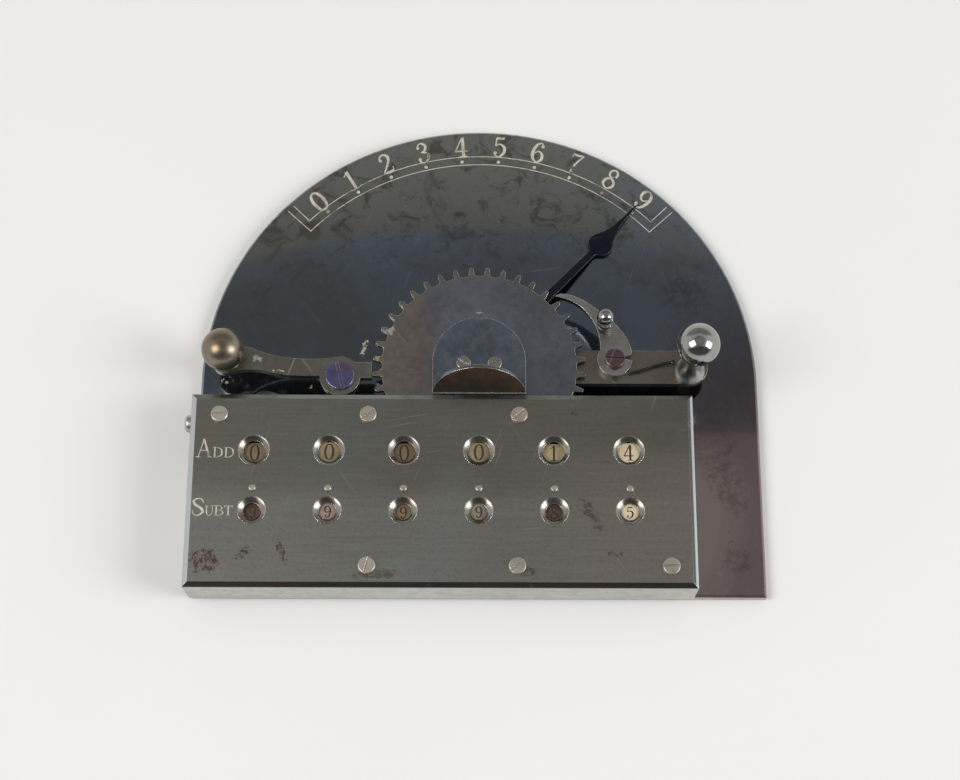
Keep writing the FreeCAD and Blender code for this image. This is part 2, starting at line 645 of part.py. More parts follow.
def detent_springs():
    springs = []
    for k in range(1, COLUMNS + 1):
        x = column_x(k)
        path = [(x + 6.4, -39.3), (x + 4.0, -38.75), (x + 1.5, -38.35), (x - 1.5, -38.35), (x - 2.6, -38.7)]
        springs.append(strip(path, 0.3, 4.95, 6.0))
    return springs


def detent_blocks():
    blocks = []
    for k in range(1, COLUMNS + 1):
        x = column_x(k)
        blocks.append(block(x + 6.4, x + 8.6, -40.4, -38.6, FLOOR_Z1, 6.3))
    return blocks


# ---- number wheel bodies --------------------------------------------------------------------------
def arbor(k):
    x = column_x(k)
    body = cylinder(ARBOR_RADIUS, FLOOR_Z1 + 0.1, COVER_Z0 - 0.1, x, ARBOR_Y)
    lower = cylinder(0.8, FLOOR_Z0, FLOOR_Z1 + 0.1, x, ARBOR_Y)
    edge_z = PIVOT_TOP - PIVOT_CHAMFER
    edge = Part.makeCone(PIVOT_RADIUS, PIVOT_RADIUS - PIVOT_CHAMFER, PIVOT_CHAMFER, vec(x, ARBOR_Y, edge_z))
    upper = cylinder(PIVOT_RADIUS, COVER_Z0 - 0.1, edge_z, x, ARBOR_Y).fuse(edge)
    leaves = prism(toothed_outline(PINION_LEAVES, 90.0, PINION_TOOTH, x, ARBOR_Y), PINION_Z0, PINION_Z1)
    return body.fuse([lower, upper, leaves]).removeSplitter()


def number_disc(k):
    x = column_x(k)
    z0 = DISC_LOW_Z if k % 2 else DISC_HIGH_Z
    return cylinder(DISC_RADIUS, z0, z0 + DISC_THICK, x, ARBOR_Y).cut(
        cylinder(ARBOR_RADIUS, z0, z0 + DISC_THICK, x, ARBOR_Y))


def star_wheel(k):
    x = column_x(k)
    points = []
    for i in range(PINION_LEAVES):
        points.append(polar(STAR_RADIUS, 90 + 18 + 36 * i - 5, x, ARBOR_Y))
        points.append(polar(STAR_RADIUS, 90 + 18 + 36 * i + 5, x, ARBOR_Y))
        points.append(polar(STAR_VALLEY, 90 + 36 * (i + 1), x, ARBOR_Y))
    star = prism(points, STAR_Z0, STAR_Z1)
    level = 6.4 if k % 2 else 7.4
    sleeve = cylinder(SLEEVE_RADIUS, STAR_Z1, level + 0.8, x, ARBOR_Y)
    finger = block(0, FINGER_RADIUS - 0.6, -0.6, 0.6, level, level + 0.8)
    finger = finger.fuse(cylinder(0.6, level, level + 0.8, FINGER_RADIUS - 0.6, 0))
    finger.rotate(vec(0, 0, 0), vec(0, 0, 1), 250.0)
    finger.translate(vec(x, ARBOR_Y, 0))
    solid = star.fuse([sleeve, finger]).removeSplitter()
    return solid.cut(cylinder(ARBOR_RADIUS, STAR_Z0, level + 0.8, x, ARBOR_Y))


save("base_plate", base_plate())
save("centre_post", centre_post())
save("lever_stop_pin", lever_stop_pin())
save("guide_rail", guide_rail())
save("guide_rail_screws", guide_rail_screws())
save("hold_lever_post", hold_lever_post())
save("hold_lever_screw", hold_lever_screw())
save("hold_spring", hold_spring())
save("hold_spring_pin", hold_spring_pin())
save("drive_wheel", drive_wheel())
save("wheel_boss", wheel_boss())
save("thumb_plate", thumb_plate())
save("thumb_plate_screws", thumb_plate_screws())
save("lever_arm", lever_arm())
save("pointer", pointer())
save("pointer_rivets", pointer_rivets())
save("lever_knob", lever_knob())
save("pawl_screw", pawl_screw())
save("pawl_spring", pawl_spring())
save("pawl_spring_pin", pawl_spring_pin())
save("drive_pawl", drive_pawl())
save("drive_pawl_knob", drive_pawl_knob())
save("hold_lever", hold_lever())
save("hold_lever_knob", hold_lever_knob())
save("saddle_block", saddle_block())
save("hinge_rod", hinge_rod())
save("carriage_cover", carriage_cover())
save("carriage_front_wall", carriage_front_wall())
save("carriage_left_end", end_wall(CAR_X0))
save("carriage_right_end", end_wall(CAR_X1 - WALL))
save("carriage_floor", carriage_floor())
save("carriage_back_rail", carriage_back_rail())
save("cover_pillars", cover_pillars())
save("cover_screws", cover_screws())
save("detent_springs", detent_springs())
save("detent_blocks", detent_blocks())
for k in range(1, COLUMNS + 1):
    save("arbor_%d" % k, arbor(k))
    save("number_disc_%d" % k, number_disc(k))
    save("star_wheel_%d" % k, star_wheel(k))
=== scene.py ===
import math

import bpy
from mathutils import Matrix, Vector


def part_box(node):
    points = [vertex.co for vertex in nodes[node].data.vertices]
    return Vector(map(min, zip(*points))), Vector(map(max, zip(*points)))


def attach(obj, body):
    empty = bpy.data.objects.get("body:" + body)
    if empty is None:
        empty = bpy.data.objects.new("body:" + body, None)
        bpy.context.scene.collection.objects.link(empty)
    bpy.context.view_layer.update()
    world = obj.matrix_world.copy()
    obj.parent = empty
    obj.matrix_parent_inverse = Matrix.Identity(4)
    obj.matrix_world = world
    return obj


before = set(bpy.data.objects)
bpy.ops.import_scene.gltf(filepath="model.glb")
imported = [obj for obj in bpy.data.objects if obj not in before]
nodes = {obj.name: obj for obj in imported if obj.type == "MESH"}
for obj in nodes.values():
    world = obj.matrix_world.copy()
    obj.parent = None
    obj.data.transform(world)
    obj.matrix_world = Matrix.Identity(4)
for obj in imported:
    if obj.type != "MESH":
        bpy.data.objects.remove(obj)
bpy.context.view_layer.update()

MM = 0.001

PLATE_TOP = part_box("base_plate")[1][2]
COVER_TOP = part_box("carriage_cover")[1][2]
COLUMNS = range(1, 7)
BEVEL_MIDDLE = COVER_TOP - 0.35 * MM
# The figure that each column's upper window shows.
DIGIT_SHOWN_ADD = {1: 0, 2: 0, 3: 0, 4: 0, 5: 1, 6: 4}
# Radius at which each ring of figures stands on a disc; the two windows of a column lie over these rings.
OUTER_RING, INNER_RING = 9.0 * MM, 5.3 * MM
OUTER_FIGURE, INNER_FIGURE = 3.7 * MM, 2.7 * MM
# Drawn strokes stand this far above their surface, and each stroke this much above the one before.
STROKE_GAP = 0.01 * MM
STROKE_STEP = 0.0015 * MM
CAMERA_PLACE = (0.00021, -0.1454, 0.4216)
CAMERA_TILT, CAMERA_ROLL = 0.3282, 0.0031
CAMERA_LENS, CAMERA_SENSOR = 69.17, 36.0


def srgb(r, g, b):
    def linear(c):
        c = c / 255.0
        return c / 12.92 if c <= 0.04045 else ((c + 0.055) / 1.055) ** 2.4
    return (linear(r), linear(g), linear(b), 1.0)


# ---------------------------------------------------------------- shader building
class Shader:
    """Builds one procedural material. With a node, its coordinates are those of the shared frame at rest."""

    def __init__(self, name, node=None):
        self.mat = bpy.data.materials.new(name)
        self.mat.use_nodes = True
        self.tree = self.mat.node_tree
        self.tree.nodes.clear()
        self.out = self.add("ShaderNodeOutputMaterial")
        self.bsdf = self.add("ShaderNodeBsdfPrincipled")
        self.tree.links.new(self.bsdf.outputs[0], self.out.inputs[0])
        self.coord = self.add("ShaderNodeTexCoord").outputs["Object"]
        if node is not None:
            self.coord = self.mapped(move=nodes[node].matrix_world.translation)

    def add(self, kind, **settings):
        node = self.tree.nodes.new(kind)
        for key, value in settings.items():
            setattr(node, key, value)
        return node

    def plug(self, socket, value):
        if isinstance(value, bpy.types.NodeSocket):
            self.tree.links.new(value, socket)
        else:
            socket.default_value = value

    def mapped(self, stretch=(1, 1, 1), turn=(0, 0, 0), move=(0, 0, 0), vector=None):
        node = self.add("ShaderNodeMapping")
        self.plug(node.inputs["Vector"], self.coord if vector is None else vector)
        node.inputs["Location"].default_value = move
        node.inputs["Rotation"].default_value = turn
        node.inputs["Scale"].default_value = stretch
        return node.outputs[0]

    def patches(self, noise, threshold, places):
        """Ragged marks round places: (x, y, half width, half depth) in millimetres and a turn in degrees."""
        x, y, _ = self.axes()
        near = None
        for cx, cy, wide, deep, turn in places:
            dx = self.math("SUBTRACT", x, cx * MM)
            dy = self.math("SUBTRACT", y, cy * MM)
            ca, sa = math.cos(math.radians(turn)), math.sin(math.radians(turn))
            u = self.math("ADD", self.product(dx, ca), self.product(dy, sa))
            v = self.math("SUBTRACT", self.product(dy, ca), self.product(dx, sa))
            reach = self.length(self.math("DIVIDE", u, wide * MM), self.math("DIVIDE", v, deep * MM))
            inside = self.span(reach, 1.35, 0.25)
            near = inside if near is None else self.math("MAXIMUM", near, inside)
        level = self.math("ADD", noise, self.math("MULTIPLY", self.math("SUBTRACT", near, 1.0), 0.36))
        return self.span(level, threshold, threshold + 0.06)

    def noise(self, scale, detail=6.0, rough=0.6, vector=None, distortion=0.0):
        node = self.add("ShaderNodeTexNoise")
        self.plug(node.inputs["Vector"], self.coord if vector is None else vector)
        node.inputs["Scale"].default_value = scale
        node.inputs["Detail"].default_value = detail
        node.inputs["Roughness"].default_value = rough
        node.inputs["Distortion"].default_value = distortion
        return node.outputs["Fac"]

    def mix(self, fac, a, b):
        """From colour a to colour b by the factor."""
        node = self.add("ShaderNodeMix", data_type="RGBA")
        self.plug(node.inputs["Factor"], fac)
        self.plug(node.inputs["A"], a)
        self.plug(node.inputs["B"], b)
        return node.outputs["Result"]

    def math(self, operation, a, b=0.0):
        node = self.add("ShaderNodeMath", operation=operation)
        self.plug(node.inputs[0], a)
        self.plug(node.inputs[1], b)
        return node.outputs[0]

    def product(self, a, b):
        return self.math("MULTIPLY", a, b)

    def length(self, a, b):
        """Distance from the origin of the point (a, b)."""
        return self.math("SQRT", self.math("ADD", self.product(a, a), self.product(b, b)))

    def span(self, value, low, high, to_low=0.0, to_high=1.0):
        """Smooth step from to_low at low to to_high at high."""
        node = self.add("ShaderNodeMapRange", interpolation_type="SMOOTHSTEP")
        self.plug(node.inputs["Value"], value)
        node.inputs["From Min"].default_value = low
        node.inputs["From Max"].default_value = high
        node.inputs["To Min"].default_value = to_low
        node.inputs["To Max"].default_value = to_high
        return node.outputs["Result"]

    def axes(self):
        node = self.add("ShaderNodeSeparateXYZ")
        self.plug(node.inputs[0], self.coord)
        return node.outputs

    def facing(self):
        """Object-space direction of the surface, split into X, Y and Z."""
        node = self.add("ShaderNodeSeparateXYZ")
        self.plug(node.inputs[0], self.add("ShaderNodeTexCoord").outputs["Normal"])
        return node.outputs

    def edges(self, radius):
        """0 on flat faces, rising to 1 along sharp edges; also returns the softened normal."""
        soft = self.add("ShaderNodeBevel", samples=4)
        soft.inputs["Radius"].default_value = radius
        plain = self.add("ShaderNodeNewGeometry").outputs["Normal"]
        dot = self.add("ShaderNodeVectorMath", operation="DOT_PRODUCT")
        self.plug(dot.inputs[0], soft.outputs[0])
        self.plug(dot.inputs[1], plain)
        return self.span(dot.outputs["Value"], 0.995, 0.80), soft.outputs[0]

    def bump(self, height, distance, strength=1.0, normal=None):
        node = self.add("ShaderNodeBump")
        self.plug(node.inputs["Height"], height)
        node.inputs["Distance"].default_value = distance
        node.inputs["Strength"].default_value = strength
        if normal is not None:
            self.plug(node.inputs["Normal"], normal)
        return node.outputs[0]

    def finish(self, colour, rough, metallic=1.0, normal=None):
        self.plug(self.bsdf.inputs["Base Color"], colour)
        self.plug(self.bsdf.inputs["Roughness"], rough)
        self.plug(self.bsdf.inputs["Metallic"], metallic)
        if normal is not None:
            self.plug(self.bsdf.inputs["Normal"], normal)
        return self.mat


def scratches(s, scale=260.0, amount=0.52):
    """Fine hairline marks running three ways."""
    total = None
    for turn in (0.35, 1.4, 2.5):
        turned_coord = s.mapped(turn=(0, 0, turn))
        line = s.noise(scale * 4, 2.0, 0.5, s.mapped((1.0, 0.03, 0.2), vector=turned_coord))
        line = s.span(line, amount + 0.17, amount + 0.25)
        total = line if total is None else s.math("MAXIMUM", total, line)
    return total


def worn_steel(name, base, cast, mark, rough=0.3, tint_size=28.0, stain=None, stain_low=0.62, edge=0.00018,
               edge_colour=None, scratch=0.5, pit=0.000008, node=None, flakes=(), neck=None):
    """Old bare or oxidised steel: cloudy tint, small mottling, hairlines, optional stains and pale edges:
    rubbed wear on most parts, a painted highlight on the window rims.

    flakes are places of pale crust, as for patches. Below the height neck the steel is rougher. Both are
    in the shared frame, so they need the node that wears the material.
    """
    s = Shader(name, node)
    cloud = s.noise(tint_size, 5.0, 0.55, distortion=0.4)
    mottle = s.noise(420.0, 8.0, 0.7)
    colour = s.mix(s.span(cloud, 0.35, 0.65), base, cast)
    colour = s.mix(s.span(mottle, 0.45, 0.8, 0.0, 0.55), colour, mark)
    lines = scratches(s)
    colour = s.mix(s.product(lines, scratch * 0.5), colour, srgb(200, 196, 186))
    roughness = s.span(mottle, 0.3, 0.8, rough - 0.06, rough + 0.10)
    roughness = s.math("ADD", roughness, s.product(lines, 0.12))
    if stain is not None:
        blot = s.noise(150.0, 9.0, 0.72, distortion=1.2)
        spread = s.noise(22.0, 3.0, 0.5)
        patch = s.product(s.span(blot, stain_low, stain_low + 0.10), s.span(spread, 0.42, 0.62))
        colour = s.mix(patch, colour, stain)
        roughness = s.math("ADD", roughness, s.product(patch, 0.3))
    if flakes:
        flake = s.patches(s.noise(700.0, 6.0, 0.7), 0.48, flakes)
        colour = s.mix(flake, colour, srgb(214, 206, 186))
        roughness = s.math("ADD", roughness, s.product(flake, 0.4))
    edge_band, soft = s.edges(edge)
    if edge_colour is not None:
        # Pale edge colour: rubbed wear on most steels, a painted highlight on the window rims.
        pale_edge = s.product(edge_band, s.span(s.noise(300.0, 4.0, 0.6), 0.3, 0.6, 0.35, 1.0))
        colour = s.mix(pale_edge, colour, edge_colour)
    if neck is not None:
        roughness = s.math("ADD", roughness, s.span(s.axes()["Z"], neck + 0.0008, neck - 0.0008, 0.0, 0.24))
    normal = s.bump(s.math("ADD", mottle, s.product(lines, -0.5)), pit, 0.8, soft)
    return s.finish(colour, roughness, 1.0, normal)


def plate_material():
    """Polished dark oxide plate: blue-grey with green casts, pale rubbed rim and corrosion spots.

    The paler zones across the back and right of the box and the purple cast on the plate's right are
    painted reflections. The back zone's edge is part of a circle round the point under the camera.
    """
    s = Shader("plate_oxide", "base_plate")
    x, y, _ = s.axes()
    cloud = s.noise(24.0, 6.0, 0.6, distortion=0.8)
    fine = s.noise(520.0, 9.0, 0.72)
    colour = s.mix(s.span(cloud, 0.36, 0.66), srgb(138, 149, 165), srgb(130, 136, 139))
    far = s.length(x, s.math("SUBTRACT", y, CAMERA_PLACE[1]))
    back = s.product(s.span(far, 183.5 * MM, 186.5 * MM), s.span(x, 0.052, 0.020, 0.35, 1.0))
    colour = s.mix(s.product(back, 0.9), colour, srgb(147, 148, 139))
    # Purple cast on the right of the plate: a painted reflection.
    side = s.span(s.math("ADD", x, s.product(s.math("SUBTRACT", cloud, 0.5), 0.05)), 0.030, 0.056)
    low = s.span(y, 0.036, -0.012)
    colour = s.mix(s.product(side, s.product(low, 0.85)), colour, srgb(124, 112, 116))
    strip = s.product(s.span(x, 0.040, 0.050), s.span(y, -0.0122, -0.0148))
    strip_tone = s.mix(s.span(cloud, 0.38, 0.62), srgb(172, 158, 152), srgb(150, 132, 132))
    colour = s.mix(strip, colour, strip_tone)
    patch = s.span(s.noise(60.0, 8.0, 0.66, distortion=1.5), 0.56, 0.72, 0.0, 0.5)
    colour = s.mix(patch, colour, srgb(78, 80, 80))
    mottle = s.span(s.noise(170.0, 8.0, 0.7, distortion=1.0), 0.50, 0.64)
    mottle = s.product(mottle, s.span(y, 0.020, 0.045))
    colour = s.mix(s.product(mottle, 0.65), colour, srgb(80, 73, 64))
    cloudy = s.patches(s.noise(640.0, 10.0, 0.82), 0.46, (
        (58.5, -26.0, 7.5, 15.0, 25), (60.0, -44.0, 6.0, 8.0, 0),
        (50.0, 22.0, 11.0, 10.0, 0), (30.0, 36.0, 11.0, 7.0, 0)))
    colour = s.mix(s.product(cloudy, 0.38), colour, srgb(88, 80, 76))
    spots = s.span(s.noise(900.0, 4.0, 0.6), 0.69, 0.76, 0.0, 0.6)
    colour = s.mix(spots, colour, srgb(70, 66, 60))
    flecks = s.span(s.noise(1500.0, 2.0, 0.5, s.mapped((1, 1, 1), (0.3, 0.1, 0.7))), 0.73, 0.79, 0.0, 0.7)
    colour = s.mix(flecks, colour, srgb(206, 206, 200))
    lines = scratches(s, 300.0, 0.54)
    colour = s.mix(s.product(lines, 0.30), colour, srgb(190, 192, 190))
    crust = s.patches(s.noise(700.0, 6.0, 0.7), 0.50, (
        (-60.5, -1.0, 2.4, 3.2, 20), (-27.8, 7.5, 1.7, 4.6, -20),
        (-40.0, -2.2, 1.5, 1.2, 0), (-51.5, -4.5, 3.0, 0.9, 30)))
    colour = s.mix(crust, colour, srgb(216, 208, 188))
    rough = s.math("ADD", s.span(fine, 0.3, 0.8, 0.07, 0.13), s.product(patch, 0.10))
    rough = s.math("ADD", rough, s.product(crust, 0.4))
    edge_band, soft = s.edges(0.0003)
    colour = s.mix(s.product(edge_band, 0.8), colour, srgb(186, 192, 176))
    normal = s.bump(s.math("ADD", fine, s.product(lines, -0.6)), 0.000006, 0.8, soft)
    return s.finish(colour, rough, 1.0, normal)


def cover_material():
    """Satin gunmetal sheet with rubbed edges, brown rust at its front left and fainter rust elsewhere.

    The bands across it and the tones of its four bevels are painted reflections.
    """
    s = Shader("register_gunmetal", "carriage_cover")
    x, y, z = s.axes()  # z splits the right bevel
    cloud = s.noise(34.0, 6.0, 0.6, distortion=0.6)
    grain = s.noise(1500.0, 4.0, 0.6, s.mapped((0.04, 1.0, 1.0)))
    colour = s.mix(s.span(cloud, 0.34, 0.66), srgb(137, 139, 132), srgb(136, 131, 121))
    colour = s.mix(s.span(grain, 0.40, 0.75, 0.0, 0.16), colour, srgb(112, 110, 102))
    warm = s.span(s.noise(26.0, 4.0, 0.5, distortion=0.6), 0.45, 0.62, 0.0, 0.6)
    colour = s.mix(warm, colour, srgb(128, 119, 106))
    colour = s.mix(s.span(y, -0.034, -0.022, 0.0, 0.5), colour, srgb(121, 119, 112))
    colour = s.mix(s.span(y, -0.029, -0.035, 0.0, 0.5), colour, srgb(156, 157, 150))
    rosy = s.product(s.span(x, 0.008, 0.030), s.span(y, -0.018, -0.028))
    colour = s.mix(s.product(rosy, 0.6), colour, srgb(154, 144, 136))
    grit = s.noise(1300.0, 5.0, 0.7)
    colour = s.mix(s.span(grit, 0.45, 0.75, 0.0, 0.34), colour, srgb(104, 98, 90))
    shine = s.noise(900.0, 8.0, 0.8, s.mapped((0.35, 1.0, 1.0), (0.0, 0.0, 0.2)))
    colour = s.mix(s.span(shine, 0.54, 0.74, 0.0, 0.30), colour, srgb(176, 176, 168))
    speck = s.noise(1100.0, 10.0, 0.8, distortion=0.3)
    patch = s.patches(speck, 0.455, (
        (-62.0, -47.6, 6.4, 5.8, 0), (-53.5, -46.0, 3.8, 2.1, 35), (-44.6, -45.8, 1.7, 5.2, 22)))
    colour = s.mix(s.product(patch, 0.9), colour, srgb(78, 55, 48))
    faint = s.patches(s.noise(640.0, 10.0, 0.80, distortion=0.5), 0.45, (
        (-23.5, -50.8, 9.0, 2.2, 5), (9.5, -49.2, 7.5, 2.6, -28), (25.5, -36.5, 2.6, 8.0, 30),
        (31.0, -46.0, 3.0, 2.0, 0), (22.0, -12.5, 1.5, 1.0, 0), (-60.2, -12.9, 3.2, 3.0, 0)))
    colour = s.mix(s.product(faint, 0.6), colour, srgb(94, 76, 64))
    facing = s.facing()
    up = facing["Z"]
    bevel = s.product(s.span(up, 0.50, 0.62), s.span(up, 0.97, 0.93))
    colour = s.mix(s.product(bevel, 0.9), colour, srgb(192, 196, 194))
    right = s.product(bevel, s.span(facing["X"], 0.25, 0.40))
    lower = s.span(z, BEVEL_MIDDLE + 0.1 * MM, BEVEL_MIDDLE - 0.1 * MM)
    colour = s.mix(right, colour, s.mix(lower, srgb(92, 94, 94), srgb(186, 192, 192)))
    rear = s.product(bevel, s.span(facing["Y"], 0.25, 0.40))
    colour = s.mix(rear, colour, s.mix(s.span(cloud, 0.40, 0.60), srgb(150, 153, 146), srgb(112, 114, 106)))
    front = s.product(bevel, s.span(facing["Y"], -0.25, -0.40))
    colour = s.mix(front, colour, s.mix(s.span(cloud, 0.42, 0.58), srgb(84, 88, 81), srgb(98, 84, 81)))
    lines = scratches(s, 280.0, 0.53)
    colour = s.mix(s.product(lines, 0.3), colour, srgb(196, 194, 186))
    rough = s.math("ADD", s.span(grain, 0.3, 0.7, 0.33, 0.38), s.product(patch, 0.25))
    edge_band, soft = s.edges(0.00022)
    colour = s.mix(s.product(edge_band, 0.8), colour, srgb(204, 204, 196))
    height = s.math("ADD", s.product(grain, 0.6), s.product(patch, -0.8))
    normal = s.bump(height, 0.000004, 0.7, soft)
    return s.finish(colour, rough, 1.0, normal)


def wheel_material():
    """Wheel disc tinted from blue-grey to straw and purple by heat, with pale crust by the left teeth."""
    s = Shader("wheel_tinted", "drive_wheel")
    x, y, _ = s.axes()
    radius = s.length(x, y)
    cloud = s.noise(50.0, 6.0, 0.6, distortion=1.0)
    fine = s.noise(560.0, 8.0, 0.7)
    colour = s.mix(s.span(cloud, 0.35, 0.65), srgb(135, 139, 149), srgb(120, 123, 131))
    left = s.span(s.math("ADD", x, s.product(s.math("SUBTRACT", cloud, 0.5), 0.02)), -0.009, -0.016)
    colour = s.mix(s.product(left, 0.75), colour, srgb(140, 128, 112))
    colour = s.mix(s.span(x, 0.002, 0.016, 0.0, 0.5), colour, srgb(102, 106, 114))
    flush = s.product(s.span(x, -0.019, -0.014), s.span(x, -0.006, -0.011))
    flush = s.product(flush, s.span(cloud, 0.40, 0.60, 0.1, 0.45))
    flush = s.product(flush, s.span(y, 0.018, 0.010))
    colour = s.mix(flush, colour, srgb(124, 92, 100))
    crust = s.patches(s.noise(700.0, 6.0, 0.7), 0.45, (
        (-21.8, 10.5, 2.2, 4.4, 25), (-24.0, 3.0, 1.2, 4.0, 0), (-4.4, 11.6, 2.0, 0.5, 0),
        (0.0, 13.6, 1.4, 0.4, 0)))
    colour = s.mix(crust, colour, srgb(218, 210, 190))
    rim = s.product(s.span(radius, 0.0205, 0.0235), s.span(cloud, 0.40, 0.60))
    colour = s.mix(s.product(rim, 0.22), colour, srgb(154, 136, 112))
    colour = s.mix(s.span(fine, 0.60, 0.88, 0.0, 0.35), colour, srgb(84, 86, 94))
    lines = scratches(s, 320.0, 0.53)
    colour = s.mix(s.product(lines, 0.3), colour, srgb(200, 200, 196))
    edge_band, soft = s.edges(0.00020)
    colour = s.mix(edge_band, colour, srgb(236, 226, 200))
    rough = s.math("ADD", s.span(fine, 0.3, 0.8, 0.26, 0.40), s.product(lines, 0.1))
    normal = s.bump(fine, 0.000005, 0.8, soft)
    return s.finish(colour, rough, 1.0, normal)


def thumb_material():
    """Blue-grey sheet with a cream edge, a painted highlight; the upright face toward the register
    has a brown painted reflection.
    """
    s = Shader("thumb_steel")
    cloud = s.noise(70.0, 6.0, 0.6, distortion=0.8)
    fine = s.noise(560.0, 8.0, 0.7)
    colour = s.mix(s.span(cloud, 0.35, 0.65), srgb(126, 134, 146), srgb(106, 111, 120))
    colour = s.mix(s.span(fine, 0.55, 0.85, 0.0, 0.4), colour, srgb(70, 68, 68))
    # Brown tone on the upright face: a painted reflection.
    front = s.span(s.facing()["Y"], -0.70, -0.90)
    front_reflection_tone = s.mix(s.span(cloud, 0.40, 0.62), srgb(116, 106, 95), srgb(156, 118, 86))
    colour = s.mix(s.product(front, 0.92), colour, front_reflection_tone)
    lines = scratches(s, 300.0, 0.53)
    colour = s.mix(s.product(lines, 0.25), colour, srgb(200, 200, 196))
    # Cream colour along the edges: a painted highlight.
    edge_band, soft = s.edges(0.00022)
    colour = s.mix(edge_band, colour, srgb(238, 230, 208))
    rough = s.math("ADD", s.span(fine, 0.3, 0.8, 0.22, 0.36), s.product(front, 0.12))
    return s.finish(colour, rough, 1.0, s.bump(fine, 0.000005, 0.8, soft))


def knob_material():
    """Brown satin ball with a faint ochre ring near its crown."""
    s = Shader("satin_knob_steel")
    cloud = s.noise(110.0, 5.0, 0.55, distortion=0.4)
    fine = s.noise(700.0, 8.0, 0.7)
    colour = s.mix(s.span(cloud, 0.35, 0.65), srgb(150, 143, 130), srgb(132, 121, 104))
    colour = s.mix(s.span(fine, 0.50, 0.85, 0.0, 0.35), colour, srgb(100, 88, 70))
    turn = s.add("ShaderNodeVectorMath", operation="DOT_PRODUCT")
    s.plug(turn.inputs[0], s.add("ShaderNodeTexCoord").outputs["Normal"])
    turn.inputs[1].default_value = (-0.055, -0.18, 0.982)
    near = turn.outputs["Value"]
    ring = s.product(s.span(near, 0.955, 0.968), s.span(near, 0.986, 0.976))
    colour = s.mix(s.product(ring, 0.7), colour, srgb(138, 108, 52))
    colour = s.mix(s.span(near, 0.980, 0.990, 0.0, 0.5), colour, srgb(92, 84, 76))
    rough = s.span(fine, 0.3, 0.8, 0.30, 0.38)
    return s.finish(colour, rough, 1.0, s.bump(fine, 0.000003, 0.8))


def inlay_material():
    """Cream wax rubbed into engraved strokes, broken and dirty in places."""
    s = Shader("engraving_fill")
    grit = s.noise(1400.0, 6.0, 0.7)
    broad = s.noise(160.0, 4.0, 0.6)
    colour = s.mix(s.span(grit, 0.35, 0.75), srgb(212, 206, 188), srgb(158, 150, 132))
    colour = s.mix(s.span(broad, 0.52, 0.70, 0.0, 0.8), colour, srgb(88, 84, 74))
    lost = s.patches(grit, 0.40, ((23.3, 55.6, 1.6, 1.9, 0), (-13.2, 58.8, 1.2, 2.2, 0),
                                  (34.0, 52.4, 0.9, 2.2, 30)))
    colour = s.mix(s.product(lost, 0.85), colour, srgb(70, 68, 60))
    normal = s.bump(grit, 0.00003, 1.0)
    return s.finish(colour, 0.75, 0.0, normal)


def ink_material():
    """Dark brown ink with paler specks."""
    s = Shader("dial_ink")
    grit = s.noise(1800.0, 5.0, 0.7)
    colour = s.mix(s.span(grit, 0.35, 0.75), srgb(24, 21, 18), srgb(66, 54, 40))
    return s.finish(colour, 0.6, 0.0, s.bump(grit, 0.00001, 1.0))


def dial_material(name, centre, base, inner, dirt):
    """Silvered disc face, yellowed and spotted, with its own tone inside the inner ring of figures."""
    s = Shader(name)
    x, y, _ = s.axes()
    radius = s.length(s.math("SUBTRACT", x, centre[0]), s.math("SUBTRACT", y, centre[1]))
    broad = s.noise(90.0, 5.0, 0.6, distortion=0.6)
    fine = s.noise(900.0, 8.0, 0.7)
    colour = s.mix(s.span(radius, 0.0074, 0.0066), base, inner)
    colour = s.mix(s.span(broad, 0.42, 0.66, 0.0, 0.55), colour, dirt)
    colour = s.mix(s.span(fine, 0.50, 0.75, 0.0, 0.6), colour, dirt)
    rough = s.span(fine, 0.3, 0.8, 0.42, 0.62)
    return s.finish(colour, rough, 0.35, s.bump(fine, 0.000012, 1.0))


def floor_material():
    """Matt warm white paper."""
    s = Shader("pale_floor")
    grain = s.noise(9.0, 4.0, 0.5)
    colour = s.mix(s.span(grain, 0.3, 0.7), (0.912, 0.904, 0.876, 1), (0.926, 0.918, 0.890, 1))
    return s.finish(colour, 0.9, 0.0, s.bump(s.noise(400.0, 3.0, 0.5), 0.00005, 0.2))


